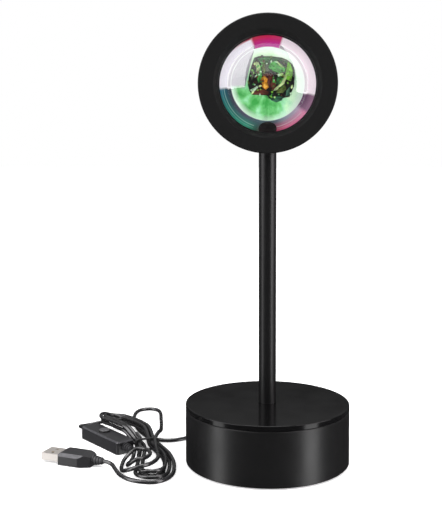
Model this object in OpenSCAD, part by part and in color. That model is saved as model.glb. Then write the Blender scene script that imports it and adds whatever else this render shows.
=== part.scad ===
// Desk projection lamp: a round head with a domed lens tilts on top of a straight pole.
// The pole stands on a heavy round base, and a thin cord with a switch and a plug
// lies bundled beside it.
// Millimetres, +Z up. The head faces -Y, and the origin is the middle of the base's underside.

/* [Base] */
// Diameter of the base
base_d = 100; // [98:0.5:108]
// Height from the table to the top of the lid
base_h = 37; // [36:0.5:44]
// Thickness of the base's side wall
base_wall = 2.2; // [2:0.1:2.6]
// Thickness of the lid
lid_h = 3.3; // [3:0.1:4]
// Radius of the lid's rounded top edge
lid_round = 0.7; // [0.5:0.1:1.4]
// Height of the groove where the lid meets the side wall
seam = 0.3; // [0.2:0.1:0.6]
// Thickness of the rubber pad
pad_h = 2; // [1.5:0.1:2.5]
// Thickness of the steel bottom plate
plate_h = 1.6; // [1.5:0.1:2]
// Gap between the counterweight and the screw posts round it
weight_gap = 0.9; // [0.8:0.1:4]
// Height of the counterweight
weight_h = 12; // [9:0.5:12.5]

/* [Pole] */
// Outside diameter of the pole
pole_d = 10.6; // [10.4:0.1:11]
// Thickness of the pole's wall
pole_wall = 1; // [0.8:0.1:1.1]
// Length of the pole from the lid to the knuckle
pole_len = 157; // [120:1:200]

/* [Head] */
// Diameter of the head
head_d = 80; // [78:0.5:88]
// Length of the head from its front ring to its back cover
head_len = 48; // [46:0.5:54]
// How far the front ring stands in front of the hinge
head_front = 30; // [29.5:0.5:33]
// Thickness of the head's wall
head_wall = 2.2; // [1.8:0.1:2.4]
// Thickness of the back cover
cover_h = 2.5; // [2:0.1:3]
// Height of the hinge above the head's lowest point
hinge_in = 12.5; // [12:0.1:13]

/* [Lens and light] */
// Diameter of the opening in the front ring
opening_d = 57.2; // [54:0.2:58]
// Thickness of the lens at its rim
lens_rim_h = 2.5; // [2:0.1:3]
// How far the lens bulges in front of its rim
lens_bulge = 12; // [9:0.5:12.5]
// Diameter of the coloured filter
filter_d = 40; // [38.5:0.5:42]
// Thickness of the coloured filter
filter_h = 1.2; // [1:0.1:1.6]
// Diameter of the light source's round board
board_d = 27; // [26:0.5:30]

/* [Hinge] */
// Diameter of the hinge bolt
bolt_d = 3.2; // [2.8:0.1:3.4]
// Thickness of the ears on the head
ear_t = 3; // [2.5:0.1:4]
// Radius of the knuckle's eye
eye_r = 6.3; // [5.8:0.1:6.4]
// Height of the hinge above the pole
knuckle_h = 8.5; // [8:0.1:10]

/* [Cord] */
// Thickness of the cord
cord_d = 2.4; // [2:0.1:2.4]
// Thickness of the wires inside the lamp
wire_d = 1.6; // [1.2:0.1:1.6]
// Height of the cord's exit above the table
exit_z = 9; // [8:0.5:12]

/* [Switch] */
// Length of the switch's case
switch_len = 44.5; // [43:0.5:45]
// Width of the switch's case
switch_w = 12.8; // [12:0.1:12.8]
// Height of the switch's case
switch_h = 8.2; // [8:0.1:8.6]
// Diameter of the push button
button_d = 7.2; // [6:0.1:7.6]
// How far the button can be pressed
button_travel = 1.2; // [0.8:0.1:1.3]

/* [Plug] */
// Length of the plug's grip
grip_len = 21; // [18:0.5:24]
// Width of the plug's grip
grip_w = 15; // [14:0.5:17]
// Height of the plug's grip
grip_h = 7.4; // [7:0.1:8.4]
// Length of the metal shell in front of the grip
plug_len = 12; // [11.7:0.1:12.5]

/* [Hidden] */
$fn = 96;

black = "#1a1a1c";
rubber = "#242426";
steel = "#b9bbbe";
dark_steel = "#3a3b3f";
brass = "#c8a55a";
glass = [0.85, 0.72, 0.95, 0.6];
gold = "#d9b25a";
white = "#eeeeea";

fit = 0.1;       // slack between pieces that are pushed together and don't move
run = 0.05;      // slack round a pin that turns
past = 1;        // how far a cut runs past the face that it opens

// Base, from the table up
base_r = base_d / 2;
base_in_r = base_r - base_wall;
pad_drop = 0.8;                      // how far the pad stands out below the side wall
plate_z = pad_h;
weight_z = plate_z + plate_h;
weight_top = weight_z + weight_h;
lid_z = base_h - lid_h;
post_d = 7.4;
post_r = base_in_r - 3.2;
post_turn = 45;
weight_r = post_r - post_d / 2 - weight_gap;
clamp_in = 15;       // from the edge of the counterweight to the cord clamp
clamp_y = weight_r - clamp_in;
plate_screw = 2.8;
plate_screw_len = 9;
plate_screw_head = 5;
plate_screw_head_h = 1.4;
peg_d = 3;
peg_len = 6;
weight_screw = 4;
weight_screw_len = 9;
weight_screw_head = 7;
weight_screw_x = 25;
spigot_h = 3;
spigot_t = 2;

// Pole
pole_r = pole_d / 2;
bore_d = pole_d - 2 * pole_wall;     // also the diameter of what is pressed into the pole
pole_top = base_h + pole_len;
stem_len = 12;
nipple_up = 12;
nipple_down = 9;
nipple_bore = 5;
washer_d = 20;
washer_h = 1.2;
nut_af = 14;
nut_h = 4;

// Hinge
hinge_z = pole_top + knuckle_h;
bolt_hole_d = bolt_d + 2 * run;
washer_t = 0.75;
ear_x = pole_r + run + washer_t;     // inner face of each ear
ear_r = 7;
slot_front = 11;
slot_back_z = 6.5;                   // the slot's top above the hinge, where it opens the back
wire_y = 3;                          // the wire passes behind the bolt
bolt_head_d = 6;
bolt_head_h = 2.2;
hinge_nut_af = 5.5;
hinge_nut_h = 2.4;

// Head: a is measured forward from the hinge along the head's own axis
head_r = head_d / 2;
head_in_r = head_r - head_wall;
head_z = hinge_z + head_r - hinge_in;
back_a = head_front - head_len;
cover_a = back_a + cover_h;
lip_a = head_front - 4.4;
seal_h = 2.3;
rim_a = lip_a - seal_h;
lens_a = rim_a - lens_rim_h;
lens_step = 1.8;
flange_a = lens_a - lens_step;
flange_h = 2.5;
holder_a = flange_a - flange_h;
ledge = 1.8;
ledge_h = 2;
opening_r = opening_d / 2;
lens_r = opening_r + 1.4;
dome_r = opening_r - 0.4;
dome_ball_r = (dome_r * dome_r + lens_bulge * lens_bulge) / (2 * lens_bulge);
pocket_r = lens_r + 0.4;
bevel = 2.5;
aperture_r = filter_d / 2 - 2;
tunnel_len = 20.5;
tunnel_wall = 1.5;
tunnel_end_r = 6;
board_a = holder_a - tunnel_len;
board_h = 1.6;
board_screw_x = board_d / 2 - 2.5;
sink_a = board_a - board_h;
sink_r = 19;
sink_h = 3;
column_x = 14;
column_d = 6;
head_post_d = 6;
head_post_r = head_in_r - head_post_d / 2 + 0.4;
head_post_len = 12;
small_screw = 2.4;
small_head = 4.8;
small_head_h = 1.4;
cover_screw_len = 10;
sink_screw_len = 6;
board_screw = 1.8;
board_screw_head = 3.4;
board_screw_head_h = 1.2;
sink_skin = 0.6;                     // what is left of the heat sink's plate below the board's screws
spigot_back = 2;
vent_w = 2.2;
vent_pitch = 5;
vent_len = [26, 22, 14];             // the upper slots, from the middle outwards
vent_up = 13;
low_vent_len = 16;
vent_down = 6;
wire_leaves = 11.2;                  // where the light's wire leaves its board, below the axis
wire_reach = 18.6;                   // how far below the axis it ends

// Cord exit at the back of the base
exit_neck_d = 6;
exit_flange_d = 10;
exit_flange_t = 2;
exit_inner_t = 1.5;
exit_inner_y = base_in_r - 0.3;      // the flat inner flange clears the round wall
exit_tail = 10;
exit_y = base_r + exit_flange_t + exit_tail;

// Switch
switch_at = [-103.4, 26.8];
switch_turn = -49;
switch_wall = 1.4;
switch_mid = switch_h / 2;
switch_round = 1.6;
switch_bevel = 0.9;
button_u = -3;
button_up = 1.3;
button_flange = 0.8;
button_flange_w = 0.8;
switch_screw_u = 18;
switch_screw_d = 1.8;
switch_post_d = 4.4;
relief_in_len = 7.2;
relief_out_len = 6;

// Plug
plug_at = [-136.5, -2];
plug_turn = -20;
plug_z = 3.7;
shell_w = 12;
shell_h = 4.5;
shell_t = 0.3;
shell_in = 3;                        // how deep the shell sits in the grip
tongue_w = shell_w - 2 * shell_t;
tongue_h = 1.9;
contact_t = 0.12;
plug_relief_len = 7;

// The bundled cord. Its spine is an arc through the waist, where the tie holds it.
// u runs along the spine from the waist towards the lower right, and v across it.
waist = [-77, 16.5];
spine_r = 100;
spine_turn = 23.5;
spine_at = waist - spine_r * [cos(spine_turn), sin(spine_turn)];
run_len = 43;                        // straight run each side of the waist
fold_r = 6;                          // half width of the innermost loop
fold_pitch = 3.05;                   // how much each loop is wider than the one inside it
middle_turn = 1.625;                 // where the lower layer climbs to the upper one
layer_h = 3.1;
climb = 0.11;
turn_steps = 24;
hank_steps = 76;
first_turn = 0.875;
waist_in = 4.4;
waist_len = 15;
lobe_up = 7.8;                       // the upper left lobe leans on the switch
lobe_tilt = 3;
lobe_from = -1;
lobe_to = -20;
tie_up = 1.2;
tie_len = 9;
tie_w = 2.4;
tie_t = 0.6;
tie_clear = 0.5;

cord_z = cord_d / 2 + 0.05;          // height of a cord that lies on the table

function smooth(x) = let (t = min(1, max(0, x))) t * t * (3 - 2 * t);
function unit(v) = v / norm(v);
function last(list) = list[len(list) - 1];

// A point of the loop at fraction f of a turn, in u and v
function loop_point(f, r) =
    f < 1/8 ? [run_len * f * 8, r] :
    f < 3/8 ? let (a = 90 - 720 * (f - 1/8)) [run_len + r * cos(a), r * sin(a)] :
    f < 1/2 ? [run_len * (1/2 - f) * 8, -r] :
    f < 5/8 ? [-run_len * (f - 1/2) * 8, -r] :
    f < 7/8 ? let (a = 270 - 720 * (f - 5/8)) [-run_len + r * cos(a), r * sin(a)] :
    [-run_len + run_len * (f - 7/8) * 8, r];

function hank_height(turn, u, v) =
    cord_z + layer_h * smooth((turn - middle_turn + climb) / (2 * climb))
    + (lobe_up - lobe_tilt * smooth((v + 4) / 12)) * smooth((lobe_from - u) / (lobe_from - lobe_to))
    + tie_up * exp(-pow(u / tie_len, 2));

// The hank's centre line: it spirals in on the lower layer and out again on the upper one
function hank_point(turn) =
    let (r = fold_r + fold_pitch * abs(turn - middle_turn),
         f = turn + first_turn - floor(turn + first_turn),
         uv = loop_point(f, r),
         u = uv[0],
         v = uv[1] * (1 - waist_in / r * exp(-pow(u / waist_len, 2))),
         a = spine_turn - u / spine_r * 180 / PI)
    [spine_at[0] + (spine_r + v) * cos(a), spine_at[1] + (spine_r + v) * sin(a), hank_height(turn, u, v)];

hank_turns = [for (i = [0:hank_steps]) hank_point(i / turn_steps)];
hank_start_dir = unit(hank_turns[1] - hank_turns[0]);
hank_end_dir = unit(last(hank_turns) - hank_turns[hank_steps - 1]);
hank_start = hank_turns[0] - cord_d * hank_start_dir;
hank_end = last(hank_turns) + cord_d * hank_end_dir;
hank_line = concat([hank_start], hank_turns, [hank_end]);

// The least gap between two loops, measured on points along the line
gap_parts = 4;
gap_skip = 24;
hank_fine = [for (i = [0:hank_steps - 1]) for (k = [0:gap_parts - 1])
    hank_turns[i] + (hank_turns[i + 1] - hank_turns[i]) * k / gap_parts];
hank_gap = min([for (i = [0:len(hank_fine) - gap_skip - 1]) for (j = [i + gap_skip:len(hank_fine) - 1])
    norm(hank_fine[i] - hank_fine[j])]) - cord_d;
echo(least_gap_in_hank = hank_gap);

// Places on the switch and the plug, from their own frames
function turned(at, angle, u, v, z) =
    [at[0] + u * cos(angle) - v * sin(angle), at[1] + u * sin(angle) + v * cos(angle), z];
function heading(angle) = [cos(angle), sin(angle), 0];

exit_point = [0, exit_y, exit_z];
relief_in_tip = turned(switch_at, switch_turn, switch_len / 2 + relief_in_len, 0, switch_mid);
relief_out_tip = turned(switch_at, switch_turn, -switch_len / 2 - relief_out_len, 0, switch_mid);
plug_relief_tip = turned(plug_at, plug_turn, plug_len + grip_len + plug_relief_len, 0, plug_z);

// Free stretches, point by point. Each list leaves out the two ends, which come from what they meet.
// From the base to the teardrop, over the waist, round two small loops and into the switch
lead_route = [
    [0, 69, 8.2], [-3, 75, 5.4], [-11, 80, 1.8], [-23, 77, cord_z], [-34, 66, cord_z], [-44, 51, cord_z],
    [-54, 38, cord_z], [-65, 33, cord_z], [-76, 37, cord_z], [-84, 49, cord_z], [-89.5, 63, cord_z],
    [-93, 79, cord_z], [-93.6, 93, cord_z], [-91, 101.2, cord_z], [-84.8, 104.2, cord_z],
    [-78.8, 101.2, cord_z], [-75.9, 93.5, cord_z], [-74.4, 82, cord_z], [-73, 71, cord_z], [-72, 62, 2.2],
    [-71, 52, 3.8], [-70, 42, 5.8], [-69.6, 32, 7.9], [-70, 23, 9.4], [-70.5, 12, 9.4], [-69, 2, 7.8],
    [-67, -8, 7.5], [-65.5, -19, 7.5], [-68.5, -29, 7.5], [-75.5, -34, 7], [-82.5, -31, 3.8],
    [-86.6, -23.5, cord_z], [-87.8, -14.5, cord_z], [-86.6, -7.5, 3.2], [-81.4, -2, 6.9], [-74.5, -4, 7.6],
    [-71, -11, 7.6], [-72.5, -18.5, 7.6], [-78, -22.7, 7.4], [-82.8, -20.5, 3.8], [-84.3, -14, cord_z],
    [-83.2, -6.8, cord_z], [-82.6, -1.8, 2.2]
];
// From the hank, round its outside, to the plug
plug_route = [
    [-59.4, -4, 4], [-56.8, -11.5, 2.8], [-55.6, -20, cord_z], [-55.8, -29, cord_z], [-58.5, -37, cord_z],
    [-65, -42.5, cord_z], [-73.5, -42, cord_z], [-81, -38, cord_z], [-86.5, -31.5, cord_z],
    [-90, -24.5, 1.7], [-93.2, -18.8, 2.9]
];
// From the switch, behind its case, to the hank
out_route = [[-126.6, 57.5, 2.4], [-122.5, 64.5, cord_z], [-114, 68, 2.2], [-105, 66.8, 4.6]];
// From the exit over the counterweight and up through the pole, in the plane of the pole
wire_top = hinge_z + 6.2;
wire_rest = weight_top + wire_d / 2 + run;
inner_route = [
    [0, weight_r + 4.2, exit_z + 0.5], [0, weight_r + 3.2, exit_z + 2.4],
    [0, weight_r + 3, wire_rest - 3], [0, weight_r + 1.6, wire_rest + 0.3],
    [0, weight_r - 1.6, wire_rest + 0.6], [0, weight_r - 6, wire_rest],
    [0, clamp_y, wire_rest], [0, 12, wire_rest],
    [0, 4, wire_rest + 1.2], [0, 0.6, wire_rest + 5], [0, 0, wire_rest + 10], [0, 0, base_h],
    [0, 0.6, base_h + pole_len * 0.3], [0, 2, base_h + pole_len * 0.6], [0, wire_y, pole_top - stem_len - 8]
];
// From the light's board down to the hinge, in the head's own frame
led_route = [[0, -11.6, 1.6], [0, -13.2, 2.4], [0, -15.6, 1.6]];

function spline_point(a, b, c, d, t) =
    0.5 * (2 * b + (c - a) * t + (2 * a - 5 * b + 4 * c - d) * t * t + (3 * b - a - 3 * c + d) * t * t * t);
function spline(p, steps) =
    let (n = len(p), e = concat([2 * p[0] - p[1]], p, [2 * p[n - 1] - p[n - 2]]))
    concat([for (i = [1:n - 1]) for (k = [0:steps - 1])
        spline_point(e[i - 1], e[i], e[i + 1], e[i + 2], k / steps)], [p[n - 1]]);
// A route between two ends, straight for one thickness at each
function route(from, from_dir, middle, to, to_dir, d, steps) =
    concat([from], spline(concat([from + d * from_dir], middle, [to - d * to_dir]), steps), [to]);

// Keeps a route from dipping below the height of a cord that lies on the table
function settled(p) = [for (q = p) [q[0], q[1], max(q[2], cord_z)]];

// A round cord along points: ref is any direction that the cord never follows
module tube(points, from_dir, to_dir, d, sides, ref) {
    n = len(points);
    dirs = [for (i = [0:n - 1])
        i == 0 ? from_dir : i == n - 1 ? to_dir : unit(points[i + 1] - points[i - 1])];
    corners = [for (i = [0:n - 1]) let (side = unit(cross(dirs[i], ref)), up = cross(side, dirs[i]))
        for (k = [0:sides - 1]) let (a = 360 * (k + 0.5) / sides)
            points[i] + d / 2 * (cos(a) * side + sin(a) * up)];
    start_face = [for (k = [sides - 1:-1:0]) k];
    end_face = [for (k = [0:sides - 1]) (n - 1) * sides + k];
    walls = [for (i = [0:n - 2]) for (k = [0:sides - 1]) for (half = [0, 1])
        let (a = i * sides + k, b = i * sides + (k + 1) % sides, c = a + sides, e = b + sides)
            half == 0 ? [a, b, e] : [a, e, c]];
    polyhedron(corners, concat([start_face], walls, [end_face]), convexity = 12);
}

module at_posts() {
    for (i = [0:3]) rotate(post_turn + 90 * i) translate([post_r, 0, 0]) children();
}

module at_head_posts() {
    for (i = [0:3]) rotate(45 + 90 * i) translate([head_post_r, 0, 0]) children();
}

module at_sides(x) {
    for (side = [-1, 1]) translate([side * x, 0, 0]) children();
}

// The head's own frame: local z runs forward along its axis and local y runs up
module head_axis(a = 0) {
    translate([0, 0, head_z]) rotate([90, 0, 0]) translate([0, 0, a]) children();
}

module switch_frame() {
    translate([switch_at[0], switch_at[1], 0]) rotate(switch_turn) children();
}

module plug_frame() {
    translate([plug_at[0], plug_at[1], plug_z]) rotate(plug_turn) children();
}

// A cross-shaped drive cut down from z = 0
module drive_cut(size, depth) {
    for (turn = [0, 90]) rotate(turn) translate([0, 0, -depth / 2 + past / 2])
        cube([size, size / 4, depth + past], center = true);
}

// A screw that points down, with its countersunk head's face at z = 0
module flat_screw(d, length, head, head_h) {
    difference() {
        union() {
            translate([0, 0, -head_h]) cylinder(h = head_h, d1 = d, d2 = head);
            translate([0, 0, -length]) cylinder(h = length - head_h / 2, d = d);
        }
        drive_cut(head * 0.55, head_h * 0.6);
    }
}

// A screw that points down, with the underside of its round head at z = 0
module pan_screw(d, length, head, head_h) {
    difference() {
        union() {
            cylinder(h = head_h, d = head);
            translate([0, 0, -length]) cylinder(h = length + head_h / 2, d = d);
        }
        translate([0, 0, head_h]) drive_cut(head * 0.6, head_h * 0.5);
    }
}

module hexagon(across, height) {
    cylinder(h = height, d = across / cos(30), $fn = 6);
}

// A flat rounded rectangle centred on the origin
module rounded(length, width, r) {
    square([length - 2 * r, width], center = true);
    square([length, width - 2 * r], center = true);
    for (x = [-1, 1]) for (y = [-1, 1])
        translate([x * (length / 2 - r), y * (width / 2 - r)]) circle(r);
}

// A ribbed strain relief along +Z, from its thick end at z = 0 to its thin end
module ribbed_relief(length, d_from, d_to, ribs) {
    rib = 0.5;
    pitch = length / ribs;
    rotate_extrude() polygon(concat(
        [[0, 0]],
        [for (i = [0:ribs - 1]) let (r = (d_from + (d_to - d_from) * i / (ribs - 1)) / 2)
            for (p = [[r, i * pitch], [r, (i + 0.55) * pitch], [r - rib, (i + 0.6) * pitch],
                      [r - rib, (i + 0.95) * pitch]]) p],
        [[d_to / 2 - rib, length], [0, length]]));
}

// ---- Base ----

module base_pad() {
    color(rubber) cylinder(h = pad_h, r = base_in_r - 8 * fit);
}

module bottom_plate() {
    color(dark_steel) difference() {
        translate([0, 0, plate_z]) cylinder(h = plate_h, r = base_in_r - fit);
        at_posts() translate([0, 0, plate_z]) plate_hole(plate_screw, plate_screw_head);
        at_sides(weight_screw_x) translate([0, 0, plate_z]) plate_hole(weight_screw, weight_screw_head);
    }
}

// A countersunk hole in the plate, from its underside
module plate_hole(d, head) {
    cylinder(h = plate_screw_head_h, d1 = head, d2 = d);
    translate([0, 0, -past]) cylinder(h = plate_h + 2 * past, d = d);
}

module plate_screws() {
    color(steel) at_posts() translate([0, 0, plate_z]) rotate([180, 0, 0])
        flat_screw(plate_screw, plate_screw_len, plate_screw_head, plate_screw_head_h);
}

module counterweight() {
    edge = 1;
    color("#6f6f72") difference() {
        translate([0, 0, weight_z]) rotate_extrude() polygon([
            [0, 0], [weight_r - edge, 0], [weight_r, edge], [weight_r, weight_h - edge],
            [weight_r - edge, weight_h], [0, weight_h]]);
        at_sides(weight_screw_x) translate([0, 0, weight_z - past])
            cylinder(h = weight_screw_len - plate_h + past, d = weight_screw);
        translate([0, clamp_y, 0]) at_sides(clamp_screw_x) translate([0, 0, weight_top - clamp_screw_in])
            cylinder(h = clamp_screw_in + past, d = small_screw);
    }
}

module weight_screws() {
    color(steel) at_sides(weight_screw_x) translate([0, 0, plate_z]) rotate([180, 0, 0])
        flat_screw(weight_screw, weight_screw_len, weight_screw_head, plate_screw_head_h);
}

module base_shell() {
    edge = 0.5;
    color(black) difference() {
        union() {
            rotate_extrude() polygon([
                [base_in_r, pad_drop], [base_r - edge, pad_drop], [base_r, pad_drop + edge],
                [base_r, lid_z - edge], [base_r - edge, lid_z], [base_in_r, lid_z]]);
            intersection() {
                at_posts() translate([0, 0, weight_z]) cylinder(h = lid_z - weight_z, d = post_d);
                cylinder(h = lid_z, r = base_r - base_wall / 2);
            }
        }
        at_posts() translate([0, 0, weight_z - past])
            cylinder(h = plate_screw_len - plate_h + past, d = plate_screw);
        at_posts() translate([0, 0, lid_z - peg_len]) cylinder(h = peg_len + past, d = peg_d);
        translate([0, base_r + past, exit_z]) rotate([90, 0, 0])
            cylinder(h = base_wall + 2 * past, d = exit_neck_d);
    }
}

module base_lid() {
    seam_in = 0.6;
    hole_r = bore_d / 2 + fit;
    spigot_r = base_in_r - fit;
    color(black) {
        difference() {
            rotate_extrude($fn = 180) polygon(concat(
                [[hole_r, lid_z], [spigot_r - spigot_t, lid_z], [spigot_r - spigot_t, lid_z - spigot_h],
                 [spigot_r, lid_z - spigot_h], [spigot_r, lid_z], [base_r - seam_in, lid_z],
                 [base_r - seam_in, lid_z + seam], [base_r, lid_z + seam]],
                [for (a = [0:15:90]) [base_r - lid_round + lid_round * cos(a),
                                      base_h - lid_round + lid_round * sin(a)]],
                [[hole_r, base_h]]));
            at_posts() translate([0, 0, lid_z - spigot_h - past])
                cylinder(h = spigot_h + past, d = post_d + 4 * fit);
        }
        at_posts() translate([0, 0, lid_z - peg_len]) cylinder(h = peg_len + lid_h / 2, d = peg_d);
    }
}

module cord_grommet() {
    color(rubber) {
        translate([0, exit_inner_y, exit_z]) rotate([90, 0, 0])
            cylinder(h = exit_inner_t, d = exit_flange_d - 1);
        translate([0, base_r + exit_flange_t / 2, exit_z]) rotate([90, 0, 0])
            cylinder(h = base_wall + 0.3 + exit_flange_t, d = exit_neck_d);
        translate([0, base_r, exit_z]) rotate([-90, 0, 0]) cylinder(h = exit_flange_t, d = exit_flange_d);
        translate([0, base_r + exit_flange_t, exit_z]) rotate([-90, 0, 0])
            ribbed_relief(exit_tail, 7.4, 4.6, 5);
    }
}

clamp_screw_x = 5.2;
clamp_screw_in = 6;
clamp_h = 3.2;

module cord_clamp() {
    clamp_len = 16;
    clamp_w = 7;
    color(white) difference() {
        translate([0, clamp_y, weight_top]) linear_extrude(clamp_h) rounded(clamp_len, clamp_w, 1.5);
        translate([0, clamp_y, wire_rest]) rotate([90, 0, 0])
            cylinder(h = clamp_w + past, d = wire_d, center = true);
        translate([0, clamp_y, weight_top + wire_d / 4 - past / 2])
            cube([wire_d, clamp_w + past, wire_d / 2 + past], center = true);
        translate([0, clamp_y, weight_top - past]) at_sides(clamp_screw_x)
            cylinder(h = clamp_h + 2 * past, d = small_screw);
    }
}

module clamp_screws() {
    color(steel) translate([0, clamp_y, weight_top + clamp_h]) at_sides(clamp_screw_x)
        pan_screw(small_screw, clamp_h + clamp_screw_in, small_head, small_head_h);
}

// ---- Pole ----

module pole_nipple() {
    color(brass) difference() {
        translate([0, 0, lid_z - nipple_down]) cylinder(h = nipple_down + lid_h + nipple_up, d = bore_d);
        translate([0, 0, lid_z - nipple_down - past])
            cylinder(h = nipple_down + lid_h + nipple_up + 2 * past, d = nipple_bore);
    }
}

module pole_washer() {
    color(steel) translate([0, 0, lid_z - washer_h]) difference() {
        cylinder(h = washer_h, d = washer_d);
        translate([0, 0, -past]) cylinder(h = washer_h + 2 * past, d = bore_d + 2 * fit);
    }
}

module pole_nut() {
    color(steel) translate([0, 0, lid_z - washer_h - nut_h]) difference() {
        hexagon(nut_af, nut_h);
        translate([0, 0, -past]) cylinder(h = nut_h + 2 * past, d = bore_d);
    }
}

module pole() {
    color(black) translate([0, 0, base_h]) difference() {
        cylinder(h = pole_len, d = pole_d);
        translate([0, 0, -past]) cylinder(h = pole_len + 2 * past, d = bore_d);
    }
}

module inner_wire() {
    start = [0, exit_inner_y - exit_inner_t, exit_z];
    end = [0, wire_y, wire_top];
    points = route(start, [0, -1, 0], inner_route, end, [0, 0, 1], wire_d, 3);
    color(rubber) tube(points, [0, -1, 0], [0, 0, 1], wire_d, 8, [1, 0, 0]);
}

// ---- Hinge ----

module pole_knuckle() {
    wire_hole_d = wire_d + 0.2;
    eye_w = pole_d;
    color(black) difference() {
        union() {
            translate([0, 0, pole_top - stem_len]) cylinder(h = stem_len, d = bore_d);
            translate([0, 0, pole_top]) cylinder(h = knuckle_h, d = pole_d);
            translate([0, 0, hinge_z]) rotate([0, 90, 0]) cylinder(h = eye_w, r = eye_r, center = true);
        }
        translate([0, 0, hinge_z]) rotate([0, 90, 0])
            cylinder(h = eye_w + 2 * past, d = bolt_hole_d, center = true);
        translate([0, wire_y, pole_top - stem_len - past])
            cylinder(h = stem_len + knuckle_h + eye_r + 2 * past, d = wire_hole_d);
    }
}

module hinge_bolt() {
    outer = ear_x + ear_t;
    color(dark_steel) translate([0, 0, hinge_z]) rotate([0, 90, 0]) difference() {
        union() {
            translate([0, 0, -outer - bolt_head_h]) cylinder(h = bolt_head_h, d = bolt_head_d);
            translate([0, 0, -outer - bolt_head_h / 2])
                cylinder(h = 2 * outer + bolt_head_h / 2 + hinge_nut_h + 0.4, d = bolt_d);
        }
        translate([0, 0, -outer - bolt_head_h - past]) hexagon(2.5, bolt_head_h / 2 + past);
    }
}

module hinge_washers() {
    color(steel) for (side = [-1, 1])
        translate([side * (ear_x - washer_t / 2), 0, hinge_z]) rotate([0, 90, 0]) difference() {
            cylinder(h = washer_t, d = 9, center = true);
            cylinder(h = washer_t + 2 * past, d = bolt_hole_d, center = true);
        }
}

module hinge_nut() {
    color(dark_steel) translate([ear_x + ear_t, 0, hinge_z]) rotate([0, 90, 0]) difference() {
        hexagon(hinge_nut_af, hinge_nut_h);
        translate([0, 0, -past]) cylinder(h = hinge_nut_h + 2 * past, d = bolt_d);
    }
}

// ---- Head ----

module head_shell() {
    color(black) difference() {
        union() {
            difference() {
                head_tube();
                hinge_slot();
            }
            hinge_ears();
        }
        head_axis(cover_a - past) at_head_posts() cylinder(h = head_post_len + past, d = small_screw);
        translate([0, 0, hinge_z]) rotate([0, 90, 0])
            cylinder(h = 2 * (ear_x + ear_t + past), d = bolt_hole_d, center = true);
    }
}

module head_tube() {
    tube_a = head_front - 4.5;
    head_axis() rotate_extrude($fn = 180) polygon([
        [head_in_r, cover_a], [head_r, cover_a], [head_r, tube_a], [head_in_r, tube_a],
        [head_in_r, holder_a], [head_in_r - ledge, holder_a],
        [head_in_r - ledge, holder_a - ledge_h], [head_in_r, holder_a - ledge_h]]);
    head_axis(cover_a) intersection() {
        at_head_posts() cylinder(h = head_post_len, d = head_post_d);
        cylinder(h = head_post_len, r = head_r - head_wall / 2);
    }
}

// The slot that the knuckle and the pole move through, out to the head's back
module hinge_slot() {
    slot_len = head_len;
    slot_h = hinge_in + slot_back_z + past;
    translate([-ear_x, -slot_front, hinge_z - hinge_in - past]) cube([2 * ear_x, slot_len, slot_h]);
}

module hinge_ears() {
    web_r = head_r - head_wall / 2;
    intersection() {
        for (side = [-1, 1]) translate([side * (ear_x + ear_t / 2), 0, hinge_z]) {
            rotate([0, 90, 0]) cylinder(h = ear_t, r = ear_r, center = true);
            translate([0, 0, -hinge_in / 2]) cube([ear_t, 2 * ear_r, hinge_in], center = true);
        }
        head_axis(-head_len) cylinder(h = 2 * head_len, r = web_r);
    }
}

module front_bezel() {
    outer_r = head_r;
    edge = 0.6;
    tube_a = head_front - 4.5;
    lip_top = lip_a + 1.2;
    color(black) head_axis() rotate_extrude($fn = 180) polygon([
        [opening_r, lip_a], [opening_r, lip_top], [opening_r + bevel, head_front],
        [outer_r - edge, head_front], [outer_r, head_front - edge], [outer_r, tube_a],
        [head_in_r - fit, tube_a], [head_in_r - fit, flange_a], [pocket_r, flange_a], [pocket_r, lip_a]]);
}

module lens_seal() {
    color(rubber) head_axis(rim_a) difference() {
        cylinder(h = seal_h, r = pocket_r - 2 * fit);
        translate([0, 0, -past]) cylinder(h = seal_h + 2 * past, r = opening_r);
    }
}

module lens() {
    color(glass) head_axis(lens_a) {
        cylinder(h = lens_rim_h, r = lens_r);
        intersection() {
            translate([0, 0, lens_rim_h + lens_bulge - dome_ball_r]) sphere(dome_ball_r);
            translate([0, 0, lens_rim_h / 2]) cylinder(h = lens_rim_h / 2 + lens_bulge + past, r = dome_r);
        }
    }
}

module filter_disc() {
    color([0.95, 0.45, 0.15, 0.8]) head_axis(flange_a - filter_h) cylinder(h = filter_h, d = filter_d);
}

module filter_holder() {
    collar_w = 3.1;
    color(black) head_axis() difference() {
        union() {
            translate([0, 0, holder_a]) cylinder(h = flange_h, r = head_in_r - 2 * fit);
            translate([0, 0, holder_a]) cylinder(h = flange_h + lens_step, r = lens_r + fit);
        }
        translate([0, 0, flange_a]) cylinder(h = lens_step + past, r = lens_r + fit - collar_w);
        translate([0, 0, flange_a - filter_h]) cylinder(h = filter_h + past, r = filter_d / 2 + 2 * fit);
        translate([0, 0, holder_a - past]) cylinder(h = flange_h + 2 * past, r = aperture_r);
    }
}

module light_tunnel() {
    rim_w = 4.5;
    rim_h = 2;
    color(dark_steel) head_axis() rotate_extrude() polygon([
        [aperture_r, holder_a], [aperture_r + tunnel_wall + rim_w, holder_a],
        [aperture_r + tunnel_wall + rim_w, holder_a - rim_h], [aperture_r + tunnel_wall, holder_a - rim_h],
        [tunnel_end_r + tunnel_wall, board_a], [tunnel_end_r, board_a]]);
}

module led_board() {
    color(white) head_axis(sink_a) difference() {
        cylinder(h = board_h, d = board_d);
        at_sides(board_screw_x) translate([0, 0, -past]) cylinder(h = board_h + 2 * past, d = board_screw);
    }
}

module led_chip() {
    chip = 7;
    chip_h = 1;
    color("#f2d94a") head_axis(board_a) {
        translate([-chip / 2, -chip / 2, 0]) cube([chip, chip, chip_h]);
        intersection() {
            translate([0, 0, chip_h]) sphere(2.7);
            translate([0, 0, chip_h / 2]) cylinder(h = chip, r = chip / 2);
        }
    }
}

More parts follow.
